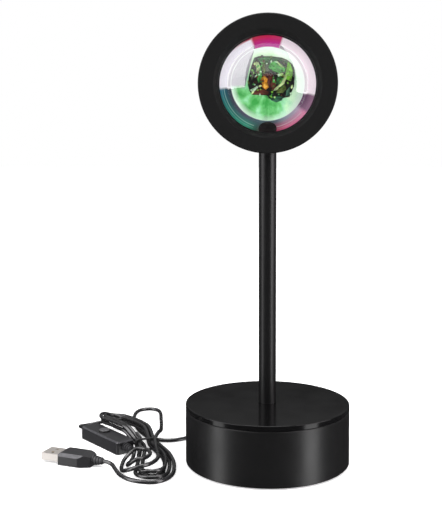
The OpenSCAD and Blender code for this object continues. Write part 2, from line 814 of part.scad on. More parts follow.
module board_screws() {
    color(steel) head_axis(board_a) at_sides(board_screw_x)
        pan_screw(board_screw, board_h + sink_h - sink_skin, board_screw_head, board_screw_head_h);
}

module heat_sink() {
    fin_t = 1.2;
    fin_pitch = 4;
    fin_back = cover_a + 0.5;
    plate_back = sink_a - sink_h;
    color("#9a9ca0") head_axis() difference() {
        union() {
            translate([0, 0, plate_back]) cylinder(h = sink_h, r = sink_r);
            intersection() {
                translate([0, 0, fin_back]) cylinder(h = plate_back - fin_back + sink_h / 2, r = sink_r);
                for (i = [-4:4]) translate([-sink_r, i * fin_pitch - fin_t / 2, fin_back])
                    cube([2 * sink_r, fin_t, plate_back - fin_back + sink_h / 2]);
            }
            at_sides(column_x) translate([0, 0, cover_a])
                cylinder(h = plate_back - cover_a + sink_h / 2, d = column_d);
        }
        at_sides(column_x) translate([0, 0, cover_a - past]) cylinder(h = sink_screw_len + past, d = small_screw);
        at_sides(board_screw_x) translate([0, 0, sink_a - sink_h + sink_skin])
            cylinder(h = sink_h, d = board_screw);
    }
}

module rear_cover() {
    edge = 1;
    spigot_r = head_in_r - fit;
    color(black) difference() {
        head_axis() {
            rotate_extrude($fn = 180) polygon([
                [0, back_a], [head_r - edge, back_a], [head_r, back_a + edge], [head_r, cover_a],
                [spigot_r, cover_a], [spigot_r, cover_a + spigot_back],
                [spigot_r - spigot_t, cover_a + spigot_back], [spigot_r - spigot_t, cover_a], [0, cover_a]]);
        }
        head_axis(cover_a) at_head_posts() cylinder(h = spigot_back + past, d = head_post_d + 4 * fit);
        hinge_slot();
        head_axis(back_a) {
            at_head_posts() recessed_hole();
            at_sides(column_x) recessed_hole();
            vent_slots();
        }
    }
}

module recessed_hole() {
    translate([0, 0, -past]) cylinder(h = small_head_h + past, d = small_head + 6 * fit);
    translate([0, 0, -past]) cylinder(h = cover_h + 2 * past, d = small_screw);
}

module vent_slots() {
    for (i = [0:2]) for (side = [-1, 1])
        translate([0, vent_up + i * vent_pitch, -past]) linear_extrude(cover_h + 2 * past)
            rounded(vent_len[i], vent_w, vent_w / 2 - 0.01);
    for (i = [0:1]) translate([0, -vent_down - i * vent_pitch, -past]) linear_extrude(cover_h + 2 * past)
        rounded(low_vent_len, vent_w, vent_w / 2 - 0.01);
}

module cover_screws() {
    color(dark_steel) head_axis(back_a + small_head_h) at_head_posts() rotate([180, 0, 0])
        pan_screw(small_screw, cover_screw_len, small_head, small_head_h);
}

module sink_screws() {
    color(dark_steel) head_axis(back_a + small_head_h) at_sides(column_x) rotate([180, 0, 0])
        pan_screw(small_screw, sink_screw_len, small_head, small_head_h);
}

module led_wire() {
    start = [0, -wire_leaves, 0];
    end = [0, -wire_reach, 0.2];
    end_dir = unit([0, -1, -0.6]);
    points = route(start, [0, 0, 1], led_route, end, end_dir, 0.8, 3);
    color(rubber) head_axis(board_a) tube(points, [0, 0, 1], end_dir, wire_d, 8, [1, 0, 0]);
}

// ---- Cord ----

module cord_lead() {
    into = heading(switch_turn + 180);
    points = settled(route(exit_point, [0, 1, 0], lead_route, relief_in_tip, into, cord_d, 3));
    color(black) tube(points, [0, 1, 0], into, cord_d, 8, [0, 0, 1]);
}

module cord_hank() {
    color(black) tube(hank_line, hank_start_dir, hank_end_dir, cord_d, 6, [0, 0, 1]);
}

module cord_to_plug() {
    into = heading(plug_turn + 180);
    points = settled(route(hank_end, hank_end_dir, plug_route, plug_relief_tip, into, cord_d, 3));
    color(black) tube(points, hank_end_dir, into, cord_d, 8, [0, 0, 1]);
}

module cord_from_switch() {
    away = heading(switch_turn + 180);
    points = settled(route(relief_out_tip, away, out_route, hank_start, hank_start_dir, cord_d, 3));
    color(black) tube(points, away, hank_start_dir, cord_d, 8, [0, 0, 1]);
}

// The band lies round the waist, with the strands inside it
module hank_tie() {
    side_loops = 1.5;                // loops outside the innermost one, on the wider side
    other_loops = 1;
    right = fold_r - waist_in + fold_pitch * side_loops + cord_d / 2 + tie_clear;
    left = fold_r - waist_in + fold_pitch * other_loops + cord_d / 2 + tie_clear;
    low = cord_z + tie_up - cord_d / 2 - tie_clear;
    high = cord_z + tie_up + layer_h + cord_d / 2 + tie_clear;
    inner_round = 1.6;
    color(rubber) translate([waist[0], waist[1], 0]) rotate(spine_turn) rotate([90, 0, 0])
        translate([(right - left) / 2, (low + high) / 2, 0]) linear_extrude(tie_w, center = true)
            difference() {
                rounded(right + left + 2 * tie_t, high - low + 2 * tie_t, inner_round + tie_t);
                rounded(right + left, high - low, inner_round);
            }
}

// ---- Switch ----

module switch_outline(inset) {
    rounded(switch_len - 2 * inset, switch_w - 2 * inset, max(0.4, switch_round - inset));
}

module switch_lower() {
    color(black) switch_frame() difference() {
        union() {
            difference() {
                linear_extrude(switch_mid) switch_outline(0);
                translate([0, 0, switch_wall]) linear_extrude(switch_mid) switch_outline(switch_wall);
            }
            at_sides(switch_screw_u) cylinder(h = switch_mid, d = switch_post_d);
            at_sides(10) translate([-1, -4, switch_wall / 2]) cube([2, 8, core_z - switch_wall / 2]);
        }
        at_sides(switch_screw_u) {
            translate([0, 0, -past]) cylinder(h = switch_head_in + past, d = 4);
            cylinder(h = switch_mid + past, d = switch_screw_d + 2 * fit);
        }
    }
}

switch_head_in = 1.4;
core_z = 2;
core_board_h = 1.2;
skin_z = switch_h - switch_wall;     // underside of the switch's top
button_low = skin_z - run - button_flange;

module switch_upper() {
    color(black) switch_frame() difference() {
        union() {
            difference() {
                hull() {
                    translate([0, 0, switch_mid]) linear_extrude(switch_mid - switch_bevel)
                        switch_outline(0, $fn = 32);
                    translate([0, 0, switch_h - 0.01]) linear_extrude(0.01)
                        switch_outline(switch_bevel, $fn = 32);
                }
                translate([0, 0, switch_mid - past]) linear_extrude(skin_z - switch_mid + past)
                    switch_outline(switch_wall);
            }
            at_sides(switch_screw_u) translate([0, 0, switch_mid])
                cylinder(h = switch_mid - switch_wall / 2, d = switch_post_d);
        }
        at_sides(switch_screw_u) translate([0, 0, switch_mid - past])
            cylinder(h = 2.2 + past, d = switch_screw_d);
        translate([button_u, 0, switch_mid]) cylinder(h = switch_h, d = button_d + 0.2);
    }
}

// The board and its push switch, with room above for the button's travel
module switch_core() {
    body = 6;
    body_top = button_low - button_travel - run;
    color("#2c5a3a") switch_frame() {
        translate([-15, -4.4, core_z]) cube([30, 8.8, core_board_h]);
        translate([button_u - body / 2, -body / 2, core_z + core_board_h / 2])
            cube([body, body, body_top - core_z - core_board_h / 2]);
    }
}

module switch_button() {
    edge = 0.4;
    color(rubber) switch_frame() translate([button_u, 0, 0]) rotate_extrude() polygon([
        [0, button_low], [button_d / 2 + button_flange_w, button_low],
        [button_d / 2 + button_flange_w, button_low + button_flange],
        [button_d / 2, button_low + button_flange], [button_d / 2, switch_h + button_up - edge],
        [button_d / 2 - edge, switch_h + button_up], [0, switch_h + button_up]]);
}

module switch_screws() {
    color(dark_steel) switch_frame() at_sides(switch_screw_u) translate([0, 0, switch_head_in])
        rotate([180, 0, 0]) pan_screw(switch_screw_d, switch_mid + 2 - switch_head_in, 3.6, 1.1);
}

module switch_relief_in() {
    color(rubber) switch_frame() translate([switch_len / 2, 0, switch_mid]) rotate([0, 90, 0])
        ribbed_relief(relief_in_len, 6.4, 4.4, 4);
}

module switch_relief_out() {
    color(rubber) switch_frame() translate([-switch_len / 2, 0, switch_mid]) rotate([0, -90, 0])
        ribbed_relief(relief_out_len, 6.2, 4.4, 4);
}

// ---- Plug ----

module plug_shell() {
    hole = 2;
    hole_u = 5.2;
    hole_v = 2.6;
    color(steel) plug_frame() difference() {
        translate([0, -shell_w / 2, -shell_h / 2]) cube([plug_len + shell_in, shell_w, shell_h]);
        translate([-past, -shell_w / 2 + shell_t, -shell_h / 2 + shell_t])
            cube([plug_len + shell_in + 2 * past, shell_w - 2 * shell_t, shell_h - 2 * shell_t]);
        for (side = [-1, 1]) translate([hole_u, side * hole_v - hole / 2, 0]) cube([hole, hole, shell_h]);
    }
}

tongue_low = -shell_h / 2 + shell_t;

module plug_tongue() {
    color(white) plug_frame() translate([0.4, -tongue_w / 2, tongue_low])
        cube([plug_len + shell_in - 0.4, tongue_w, tongue_h]);
}

module plug_contacts() {
    outer = 3.5;
    inner = 1;
    contact_w = 1;
    color(gold) plug_frame() for (v = [-outer, -inner, inner, outer])
        translate([abs(v) == outer ? 1.2 : 2.4, v - contact_w / 2, tongue_low + tongue_h])
            cube([8, contact_w, contact_t]);
}

module plug_overmould() {
    color(black) plug_frame() difference() {
        intersection() {
            translate([plug_len, 0, -grip_h]) linear_extrude(2 * grip_h) grip_plan();
            translate([plug_len, 0, 0]) rotate([90, 0, 0])
                linear_extrude(grip_w + past, center = true) grip_side();
            translate([plug_len - past, 0, 0]) rotate([90, 0, 90])
                linear_extrude(grip_len + 2 * past) grip_front();
        }
        translate([plug_len - past, -shell_w / 2, -shell_h / 2]) cube([shell_in + past, shell_w, shell_h]);
    }
}

// The grip's outline from above: it narrows towards the cord
module grip_plan() {
    half = grip_w / 2;
    edge = 0.8;
    taper = 3.4;
    taper_len = 7;
    polygon([[0, -half + edge], [edge, -half], [grip_len - taper_len, -half], [grip_len, -half + taper],
             [grip_len, half - taper], [grip_len - taper_len, half], [edge, half], [0, half - edge]]);
}

// The grip's outline from the side: its top falls away at both ends
module grip_side() {
    half = grip_h / 2;
    front = 0.7;
    back = 1.1;
    back_len = 5;
    polygon([[0, -half], [grip_len, -half], [grip_len, half - back], [grip_len - back_len, half],
             [2 * front, half], [0, half - front]]);
}

// The grip's section: its upper edges are cut off in wide flats
module grip_front() {
    half_w = grip_w / 2;
    half_h = grip_h / 2;
    top = 1.8;
    low = 0.7;
    polygon([[-half_w + low, -half_h], [half_w - low, -half_h], [half_w, -half_h + low],
             [half_w, half_h - top], [half_w - top, half_h], [-half_w + top, half_h],
             [-half_w, half_h - top], [-half_w, -half_h + low]]);
}

module plug_relief() {
    color(rubber) plug_frame() translate([plug_len + grip_len, 0, 0]) rotate([0, 90, 0])
        ribbed_relief(plug_relief_len, 6.2, 4.4, 4);
}

base_pad();
bottom_plate();
plate_screws();
counterweight();
weight_screws();
base_shell();
base_lid();
pole_nipple();
pole_washer();
pole_nut();
pole();
inner_wire();
cord_clamp();
clamp_screws();
cord_grommet();
pole_knuckle();
hinge_bolt();
hinge_washers();
hinge_nut();
head_shell();
front_bezel();
lens_seal();
lens();
filter_disc();
filter_holder();
light_tunnel();
led_board();
led_chip();
board_screws();
heat_sink();
sink_screws();
rear_cover();
cover_screws();
led_wire();
cord_lead();
cord_hank();
hank_tie();
cord_from_switch();
cord_to_plug();
switch_lower();
switch_upper();
switch_core();
switch_button();
switch_screws();
switch_relief_in();
switch_relief_out();
plug_shell();
plug_tongue();
plug_contacts();
plug_overmould();
plug_relief();
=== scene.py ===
"""Dresses the desk projection lamp: its finishes, lens, bundled cord, and a plain studio."""

import math

import bmesh
import bpy
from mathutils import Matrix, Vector


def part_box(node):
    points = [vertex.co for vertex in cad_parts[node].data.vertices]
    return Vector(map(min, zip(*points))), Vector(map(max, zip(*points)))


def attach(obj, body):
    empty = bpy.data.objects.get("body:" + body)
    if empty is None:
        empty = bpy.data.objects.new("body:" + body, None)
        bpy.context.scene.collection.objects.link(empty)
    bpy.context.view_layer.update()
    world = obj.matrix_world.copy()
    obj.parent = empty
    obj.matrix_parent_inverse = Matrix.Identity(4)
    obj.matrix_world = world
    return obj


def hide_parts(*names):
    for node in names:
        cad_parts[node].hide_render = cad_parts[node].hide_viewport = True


bl_info = {
    "name": "Projection Lamp",
    "version": (1, 0, 0),
    "blender": (4, 5, 0),
    "location": "View3D > Sidebar > Lamp",
    "description": "Finishes and details for a tilting desk projection lamp",
    "category": "Object",
}

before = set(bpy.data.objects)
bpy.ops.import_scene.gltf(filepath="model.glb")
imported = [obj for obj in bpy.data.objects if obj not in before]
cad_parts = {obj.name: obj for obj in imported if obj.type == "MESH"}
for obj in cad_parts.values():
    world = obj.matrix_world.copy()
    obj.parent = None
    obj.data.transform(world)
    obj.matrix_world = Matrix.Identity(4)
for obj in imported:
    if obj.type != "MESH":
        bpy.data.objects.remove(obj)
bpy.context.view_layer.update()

# The head's axis, and the lens on it, come from the frame
HEAD_LOW, HEAD_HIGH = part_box("front_bezel")
LENS_LOW, LENS_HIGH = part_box("lens")
FILTER_LOW, FILTER_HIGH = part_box("filter_disc")
HEAD_Z = (HEAD_LOW[2] + HEAD_HIGH[2]) / 2
LENS_R = (LENS_HIGH[2] - LENS_LOW[2]) / 2
FILTER_R = (FILTER_HIGH[2] - FILTER_LOW[2]) / 2
LENS_FRONT = -LENS_LOW[1]
LENS_BACK = -LENS_HIGH[1]
FILTER_FRONT = -FILTER_LOW[1]
FILTER_BACK = -FILTER_HIGH[1]


# ---- Properties a user would change ----

def colour_property(name, description, default):
    return bpy.props.FloatVectorProperty(
        name=name, description=description, subtype="COLOR", size=3, min=0, max=1, default=default)


class LampColours(bpy.types.PropertyGroup):
    """Colours of the lamp's finishes."""

    paint: colour_property("Paint", "Black paint of the base and pole", (0.0060, 0.0060, 0.0063))
    ring: colour_property("Head", "Matte black paint of the head", (0.0062, 0.0065, 0.0065))
    cord: colour_property("Cord", "Black sheath of the cord", (0.009, 0.009, 0.010))
    case: colour_property("Switch and plug", "Moulded plastic of the switch and the plug",
                          (0.020, 0.020, 0.022))
    film: colour_property("Filter", "Pale green of the colour filter", (0.36, 0.80, 0.47))


class LampCord(bpy.types.PropertyGroup):
    """Sizes of the cord and of its bundle."""

    thickness: bpy.props.FloatProperty(
        name="Thickness", description="Thickness of the cord", unit="LENGTH", default=0.0024,
        min=0.0015, max=0.004)
    smoothness: bpy.props.IntProperty(
        name="Smoothness", description="Points along each stretch between two route points",
        default=6, min=2, max=12)
    tail_turns: bpy.props.FloatProperty(
        name="Tie twists", description="Turns in the twisted ends of the tie",
        default=3.5, min=1, max=6)


class LampStudio(bpy.types.PropertyGroup):
    """Camera and light."""

    distance: bpy.props.FloatProperty(
        name="Distance", description="Distance of the camera from the pole", unit="LENGTH",
        default=0.6015, min=0.3, max=2)
    height: bpy.props.FloatProperty(
        name="Height", description="Height of the camera above the table", unit="LENGTH",
        default=0.2076, min=0.05, max=1)
    focal: bpy.props.FloatProperty(
        name="Focal length", description="Focal length in millimetres",
        default=70.11, min=20, max=200)
    pitch: bpy.props.FloatProperty(
        name="Pitch", description="How far the camera looks down", subtype="ANGLE",
        default=math.radians(4))
    yaw: bpy.props.FloatProperty(
        name="Yaw", description="How far the camera looks to the left", subtype="ANGLE",
        default=math.radians(2.67))
    softbox: bpy.props.FloatProperty(
        name="Softboxes", description="Brightness of the two side softboxes",
        default=3.2, min=0, max=30)


# ---- Shader building ----

class Value:
    """One output of a shader node, so that shader maths reads as plain sums."""

    def __init__(self, tree, socket):
        self.tree = tree
        self.socket = socket

    def feed(self, target):
        self.tree.links.new(self.socket, target)

    def output(self, index):
        """Another output of the same node."""
        return Value(self.tree, self.socket.node.outputs[index])

    def math(self, operation, *others):
        node = self.tree.nodes.new("ShaderNodeMath")
        node.operation = operation
        for target, item in zip(node.inputs, (self, *others)):
            give(target, item)
        return Value(self.tree, node.outputs[0])

    def __add__(self, other):
        return self.math("ADD", other)

    def __sub__(self, other):
        return self.math("SUBTRACT", other)

    def __mul__(self, other):
        return self.math("MULTIPLY", other)

    def __truediv__(self, other):
        return self.math("DIVIDE", other)

    def __radd__(self, other):
        return self + other

    def __rmul__(self, other):
        return self * other

    def __rsub__(self, other):
        return (self * -1) + other

    def __lt__(self, other):
        return self.math("LESS_THAN", other)


def give(target, item):
    """Sets a socket to a plain value, or links it to a Value."""
    if isinstance(item, Value):
        item.feed(target)
    elif isinstance(item, (tuple, list)) and len(item) == 3 and target.type == "RGBA":
        target.default_value = (*item, 1)
    else:
        target.default_value = item


class Tree:
    """A node tree while it is built."""

    kind = "ShaderNode"

    def __init__(self, tree):
        self.tree = tree

    def node(self, kind, output=0, settings=(), **inputs):
        """Makes a node, sets its properties and inputs (in_3 is its fourth), returns one output.

        The last node of a tree has no output, so its first input is returned.
        """
        node = self.tree.nodes.new(kind if "Node" in kind else self.kind + kind)
        for key, setting in dict(settings).items():
            if key == "stops":
                self.set_stops(node.color_ramp, *setting)
            else:
                setattr(node, key, setting)
        for key, item in inputs.items():
            socket = int(key[3:]) if key.startswith("in_") else key.replace("_", " ")
            give(node.inputs[socket], item)
        return Value(self.tree, node.outputs[output]) if node.outputs else node.inputs[0]

    def set_stops(self, ramp, mode, stops):
        """Sets how a ramp runs between its stops, and its (position, colour) stops."""
        ramp.interpolation = mode
        while len(ramp.elements) < len(stops):
            ramp.elements.new(0.5)
        for point, (at, colour) in zip(ramp.elements, stops):
            point.position = at
            point.color = (*colour, 1)

    def split(self, vector):
        """The three numbers of a vector."""
        first = self.node("SeparateXYZ", Vector=vector)
        return first, first.output(1), first.output(2)


class Finish(Tree):
    """A material while it is built: a node tree with one Principled shader."""

    def __init__(self, name, colour, roughness, metallic=0.0, specular=0.5, coat=0.0,
                 coat_roughness=0.1):
        self.material = bpy.data.materials.new(name)
        self.material.use_nodes = True
        super().__init__(self.material.node_tree)
        self.material.diffuse_color = (*colour, 1)
        self.tree.nodes.clear()
        self.lit = self.node("BsdfPrincipled", Base_Color=colour, Roughness=roughness,
                             Metallic=metallic, Specular_IOR_Level=specular, Coat_Weight=coat,
                             Coat_Roughness=coat_roughness)
        self.surface = self.node("OutputMaterial", Surface=self.lit)

    def set(self, socket, item):
        give(self.lit.socket.node.inputs[socket], item)

    def place(self):
        return self.node("TexCoord", "Object")

    def axes(self):
        return self.split(self.place())

    def facing_up(self):
        """How far the surface faces up, from -1 to 1."""
        return self.split(self.node("NewGeometry", "Normal"))[2]

    def noise(self, scale, detail=3.0, stretch=None):
        where = self.place()
        if stretch:
            where = self.node("Mapping", Vector=where, Scale=stretch)
        return self.node("TexNoise", "Fac", Vector=where, Scale=scale, Detail=detail)

    def ramp(self, value, stops, mode="LINEAR"):
        """A colour ramp through (position, colour) stops."""
        return self.node("ValToRGB", "Color", {"stops": (mode, stops)}, Fac=value)

    def between(self, value, low, high, to_low=0.0, to_high=1.0):
        """Carries a value from one range to another, and holds it at the ends."""
        return self.node("MapRange", Value=value, From_Min=low, From_Max=high,
                         To_Min=to_low, To_Max=to_high)

    def mix(self, share, first, second):
        """A mix of two colours; share is how much of the second."""
        return self.node("Mix", 2, {"data_type": "RGBA"}, in_0=share, in_6=first, in_7=second)

    def bump(self, height, depth, strength):
        self.set("Normal", self.node("Bump", Height=height, Distance=depth, Strength=strength))

    def vary(self, socket, low, high, scale, detail=3.0, stretch=None):
        self.set(socket, self.between(self.noise(scale, detail, stretch), 0.3, 0.7, low, high))


def satin_paint(name, colour, roughness, specular, peel=0.12):
    """Sprayed paint: a faint orange peel, with slightly uneven gloss."""
    finish = Finish(name, colour, roughness, specular=specular)
    finish.vary("Roughness", roughness - 0.03, roughness + 0.04, 60)
    finish.bump(finish.noise(1400, 2), 0.00001, peel)
    return finish.material


def moulded_plastic(name, colour, roughness, grain=2600, depth=0.00003, specular=0.5):
    """Moulded plastic with a fine sparked grain."""
    finish = Finish(name, colour, roughness, specular=specular)
    finish.vary("Roughness", roughness - 0.05, roughness + 0.06, 240)
    finish.bump(finish.noise(grain, 4), depth, 0.4)
    return finish.material


def plastic_with_painted_edge_highlight(name, colour, roughness):
    """Moulded plastic whose upward bevelled edges carry a painted highlight, a lighter colour, and
    are polished smoother by hands.
    """
    finish = Finish(name, colour, roughness)
    facing_up = finish.facing_up()
    edge = finish.between(facing_up, 0.35, 0.5) * finish.between(facing_up, 0.96, 0.85)
    edge_highlight_and_polish = edge * finish.between(finish.noise(500, 4), 0.3, 0.6, 0.5, 1.0)
    highlight_gain, polished = 3.2, 0.16
    # Painted highlight: the bevels that face up get a lighter colour, and they are also made
    # smoother.
    finish.set("Base Color", finish.mix(edge_highlight_and_polish, colour, tuple(highlight_gain * part for part in colour)))
    finish.set("Roughness", finish.between(edge_highlight_and_polish, 0, 1, roughness, polished))
    finish.bump(finish.noise(2600, 4) * (1 - edge_highlight_and_polish), 0.00003, 0.4)
    return finish.material


def soft_rubber(name, colour, roughness=0.5, specular=0.5):
    """Flexible sheath or rubber, with a faint bloom."""
    finish = Finish(name, colour, roughness, specular=specular)
    bloom = finish.between(finish.noise(160, 4), 0.35, 0.7)
    finish.set("Base Color", finish.mix(bloom, colour,
                                        tuple(min(1, c * 1.5 + 0.004) for c in colour)))
    finish.vary("Roughness", roughness - 0.06, roughness + 0.08, 300)
    finish.bump(finish.noise(1800, 3), 0.00002, 0.3)
    return finish.material


def metal(name, colour, roughness, brushed=None):
    """Bare or plated metal; brushed stretches its grain along one axis."""
    finish = Finish(name, colour, roughness, metallic=1.0)
    finish.vary("Roughness", roughness * 0.8, roughness * 1.3, 900, 3, brushed)
    finish.bump(finish.noise(1600, 3, brushed), 0.000008, 0.25)
    return finish.material


def cast_metal(name, colour):
    """Rough casting."""
    finish = Finish(name, colour, 0.6, metallic=0.8)
    pits = finish.noise(420, 6)
    finish.set("Base Color", finish.ramp(pits,
                                         [(0.3, tuple(c * 0.5 for c in colour)), (0.7, colour)]))
    finish.bump(pits, 0.0002, 0.5)
    return finish.material


def finish_nodes(material, *nodes):
    """Gives CAD nodes their finish."""
    for node in nodes:
        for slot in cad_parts[node].material_slots:
            slot.link = "OBJECT"
            slot.material = material


# ---- Mesh building ----

SHARP = math.radians(35)


def new_object(name, data, material=None):
    """Puts a mesh, a curve, a lamp or a camera into the scene."""
    piece = bpy.data.objects.new(name, data)
    bpy.context.scene.collection.objects.link(piece)
    if material:
        data.materials.append(material)
    return piece


def object_from(name, bm, material, smooth=True):
    """Makes a piece of a finished bmesh; smooth shades it across all but its sharp edges."""
    bmesh.ops.recalc_face_normals(bm, faces=bm.faces)
    mesh = bpy.data.meshes.new(name)
    bm.to_mesh(mesh)
    bm.free()
    for face in mesh.polygons:
        face.use_smooth = smooth
    if smooth:
        mesh.set_sharp_from_angle(angle=SHARP)
    return new_object(name, mesh, material)


def on_head(radius, angle, forward):
    """A point of the head: radius, angle clockwise from the top, and how far forward."""
    return Vector((radius * math.sin(angle), -forward, HEAD_Z + radius * math.cos(angle)))


def turned_on_head(bm, profile, steps=128):
    """Turns a profile of (radius, forward) round the head's axis; a radius of 0 closes on it."""
    rings = []
    for radius, forward in profile:
        if radius == 0:
            rings.append([bm.verts.new(on_head(0, 0, forward))])
        else:
            rings.append([bm.verts.new(on_head(radius, 2 * math.pi * i / steps, forward))
                          for i in range(steps)])
    for first, second in zip(rings, rings[1:]):
        for i in range(steps):
            j = (i + 1) % steps
            corners = [first[i % len(first)], first[j % len(first)],
                       second[j % len(second)], second[i % len(second)]]
            bm.faces.new(list(dict.fromkeys(corners)))


def cord_curve(name, points, thickness, material, sides=5):
    """A round cord along points, as a curve of one open spline."""
    curve = bpy.data.curves.new(name, "CURVE")
    curve.dimensions = "3D"
    curve.bevel_depth = thickness / 2
    curve.bevel_resolution = sides
    curve.use_fill_caps = True
    spline = curve.splines.new("POLY")
    spline.points.add(len(points) - 1)
    for point, place in zip(spline.points, points):
        point.co = (*place, 1)
    spline.use_smooth = True
    return new_object(name, curve, material)


class Pattern(Tree):
    """A Geometry Nodes tree while it is built: it repeats a shape, or follows a path."""

    kind = "GeometryNode"

    def __init__(self, name, **sizes):
        super().__init__(bpy.data.node_groups.new(name, "GeometryNodeTree"))
        face = self.tree.interface
        face.new_socket("Geometry", in_out="INPUT", socket_type="NodeSocketGeometry")
        self.settings = {}
        for size, amount in sizes.items():
            kind = "NodeSocketInt" if isinstance(amount, int) else "NodeSocketFloat"
            self.settings[face.new_socket(size, in_out="INPUT",
                                          socket_type=kind).identifier] = amount
        face.new_socket("Geometry", in_out="OUTPUT", socket_type="NodeSocketGeometry")
        self.base = self.node("NodeGroupInput", "Geometry")
        self.size = {size: self.base.output(size) for size in sizes}

    def bake(self, name, base, shape, material):
        """Ends the tree, runs it on a base mesh, and keeps the result as a plain mesh."""
        real = self.node("RealizeInstances", Geometry=shape)
        finished = self.node("SetMaterial", Geometry=real, Material=material)
        self.node("NodeGroupOutput", Geometry=finished)
        piece = new_object(name, base)
        modifier = piece.modifiers.new(name, "NODES")
        modifier.node_group = self.tree
        for key, amount in self.settings.items():
            modifier[key] = amount
        graph = bpy.context.evaluated_depsgraph_get()
        mesh = bpy.data.meshes.new_from_object(piece.evaluated_get(graph))
        piece.modifiers.remove(modifier)
        piece.data = mesh
        if not mesh.polygons:
            raise RuntimeError(f"{name} came out empty")
        return piece


# ---- Cord ----
# The route is that of the solids: free points listed, and the hank by its formula.

CORD_D = 0.0024
CORD_Z = CORD_D / 2 + 0.00005
EXIT = (0, 0.062, 0.009)
SWITCH_AT = (-0.1034, 0.0268)
SWITCH_TURN = math.radians(-49)
SWITCH_LEN = 0.0445
SWITCH_H = 0.0082
RELIEF_IN = 0.0072
RELIEF_OUT = 0.006
PLUG_AT = (-0.1365, -0.002)
PLUG_TURN = math.radians(-20)
PLUG_Z = 0.0037
PLUG_REACH = 0.040
WIRE_D = 0.0016
WIRE_SIDES = 3

LEAD_ROUTE = [
    (0, 0.069, 0.0082), (-0.003, 0.075, 0.0054), (-0.011, 0.08, 0.0018), (-0.023, 0.077, CORD_Z),
    (-0.034, 0.066, CORD_Z), (-0.044, 0.051, CORD_Z), (-0.054, 0.038, CORD_Z),
    (-0.065, 0.033, CORD_Z), (-0.076, 0.037, CORD_Z), (-0.084, 0.049, CORD_Z),
    (-0.0895, 0.063, CORD_Z), (-0.093, 0.079, CORD_Z), (-0.0936, 0.093, CORD_Z),
    (-0.091, 0.1012, CORD_Z), (-0.0848, 0.1042, CORD_Z), (-0.0788, 0.1012, CORD_Z),
    (-0.0759, 0.0935, CORD_Z), (-0.0744, 0.082, CORD_Z), (-0.073, 0.071, CORD_Z),
    (-0.072, 0.062, 0.0022), (-0.071, 0.052, 0.0038), (-0.07, 0.042, 0.0058),
    (-0.0696, 0.032, 0.0079), (-0.07, 0.023, 0.0094), (-0.0705, 0.012, 0.0094),
    (-0.069, 0.002, 0.0078), (-0.067, -0.008, 0.0075), (-0.0655, -0.019, 0.0075),
    (-0.0685, -0.029, 0.0075), (-0.0755, -0.034, 0.007), (-0.0825, -0.031, 0.0038),
    (-0.0866, -0.0235, CORD_Z), (-0.0878, -0.0145, CORD_Z), (-0.0866, -0.0075, 0.0032),
    (-0.0814, -0.002, 0.0069), (-0.0745, -0.004, 0.0076), (-0.071, -0.011, 0.0076),
    (-0.0725, -0.0185, 0.0076), (-0.078, -0.0227, 0.0074), (-0.0828, -0.0205, 0.0038),
    (-0.0843, -0.014, CORD_Z), (-0.0832, -0.0068, CORD_Z), (-0.0826, -0.0018, 0.0022),
]
PLUG_ROUTE = [
    (-0.0594, -0.004, 0.004), (-0.0568, -0.0115, 0.0028), (-0.0556, -0.02, CORD_Z),
    (-0.0558, -0.029, CORD_Z), (-0.0585, -0.037, CORD_Z), (-0.065, -0.0425, CORD_Z),
    (-0.0735, -0.042, CORD_Z), (-0.081, -0.038, CORD_Z), (-0.0865, -0.0315, CORD_Z),
    (-0.09, -0.0245, 0.0017), (-0.0932, -0.0188, 0.0029),
]
OUT_ROUTE = [
    (-0.1266, 0.0575, 0.0024), (-0.1225, 0.0645, CORD_Z), (-0.114, 0.068, 0.0022),
    (-0.105, 0.0668, 0.0046),
]
INNER_ROUTE = [
    (0, 0.0442, 0.0095), (0, 0.0432, 0.0114), (0, 0.043, 0.0134), (0, 0.0416, 0.0167),
    (0, 0.0384, 0.017), (0, 0.034, 0.0164), (0, 0.025, 0.0164), (0, 0.012, 0.0164),
    (0, 0.004, 0.0176), (0, 0.0006, 0.0214), (0, 0, 0.0264), (0, 0, 0.037), (0, 0.0006, 0.084),
    (0, 0.002, 0.131), (0, 0.003, 0.174),
]
INNER_START, INNER_END = (0, 0.046, 0.009), (0, 0.003, 0.2087)
BOARD_ROUTE = [(0, 0.0024, 0.2184), (0, 0.0016, 0.2168), (0, 0.0024, 0.2144)]
BOARD_START, BOARD_END = (0, 0.004, 0.2188), (0, 0.0038, 0.2114)

WAIST = (-0.077, 0.0165)
SPINE_R = 0.1
SPINE_TURN = math.radians(23.5)
SPINE_AT = (WAIST[0] - SPINE_R * math.cos(SPINE_TURN), WAIST[1] - SPINE_R * math.sin(SPINE_TURN))
RUN_LEN = 0.043
FOLD_R = 0.006
FOLD_PITCH = 0.00305
MIDDLE_TURN = 1.625
LAYER_H = 0.0031
CLIMB = 0.11
HANK_TURNS = 76 / 24
FIRST_TURN = 0.875
WAIST_IN = 0.0044
WAIST_LEN = 0.015
LOBE_UP = 0.0078
LOBE_TILT = 0.003
TIE_UP = 0.0012
TIE_LEN = 0.009


def smooth_step(x):
    x = min(1.0, max(0.0, x))
    return x * x * (3 - 2 * x)


def loop_point(part, radius):
    """A point of a loop at a part of its turn, along the spine and across it."""
    if part < 0.125:
        return RUN_LEN * part * 8, radius
    if part < 0.375:
        angle = math.pi / 2 - 4 * math.pi * (part - 0.125)
        return RUN_LEN + radius * math.cos(angle), radius * math.sin(angle)
    if part < 0.5:
        return RUN_LEN * (0.5 - part) * 8, -radius
    if part < 0.625:
        return -RUN_LEN * (part - 0.5) * 8, -radius
    if part < 0.875:
        angle = 1.5 * math.pi - 4 * math.pi * (part - 0.625)
        return -RUN_LEN + radius * math.cos(angle), radius * math.sin(angle)
    return -RUN_LEN + RUN_LEN * (part - 0.875) * 8, radius


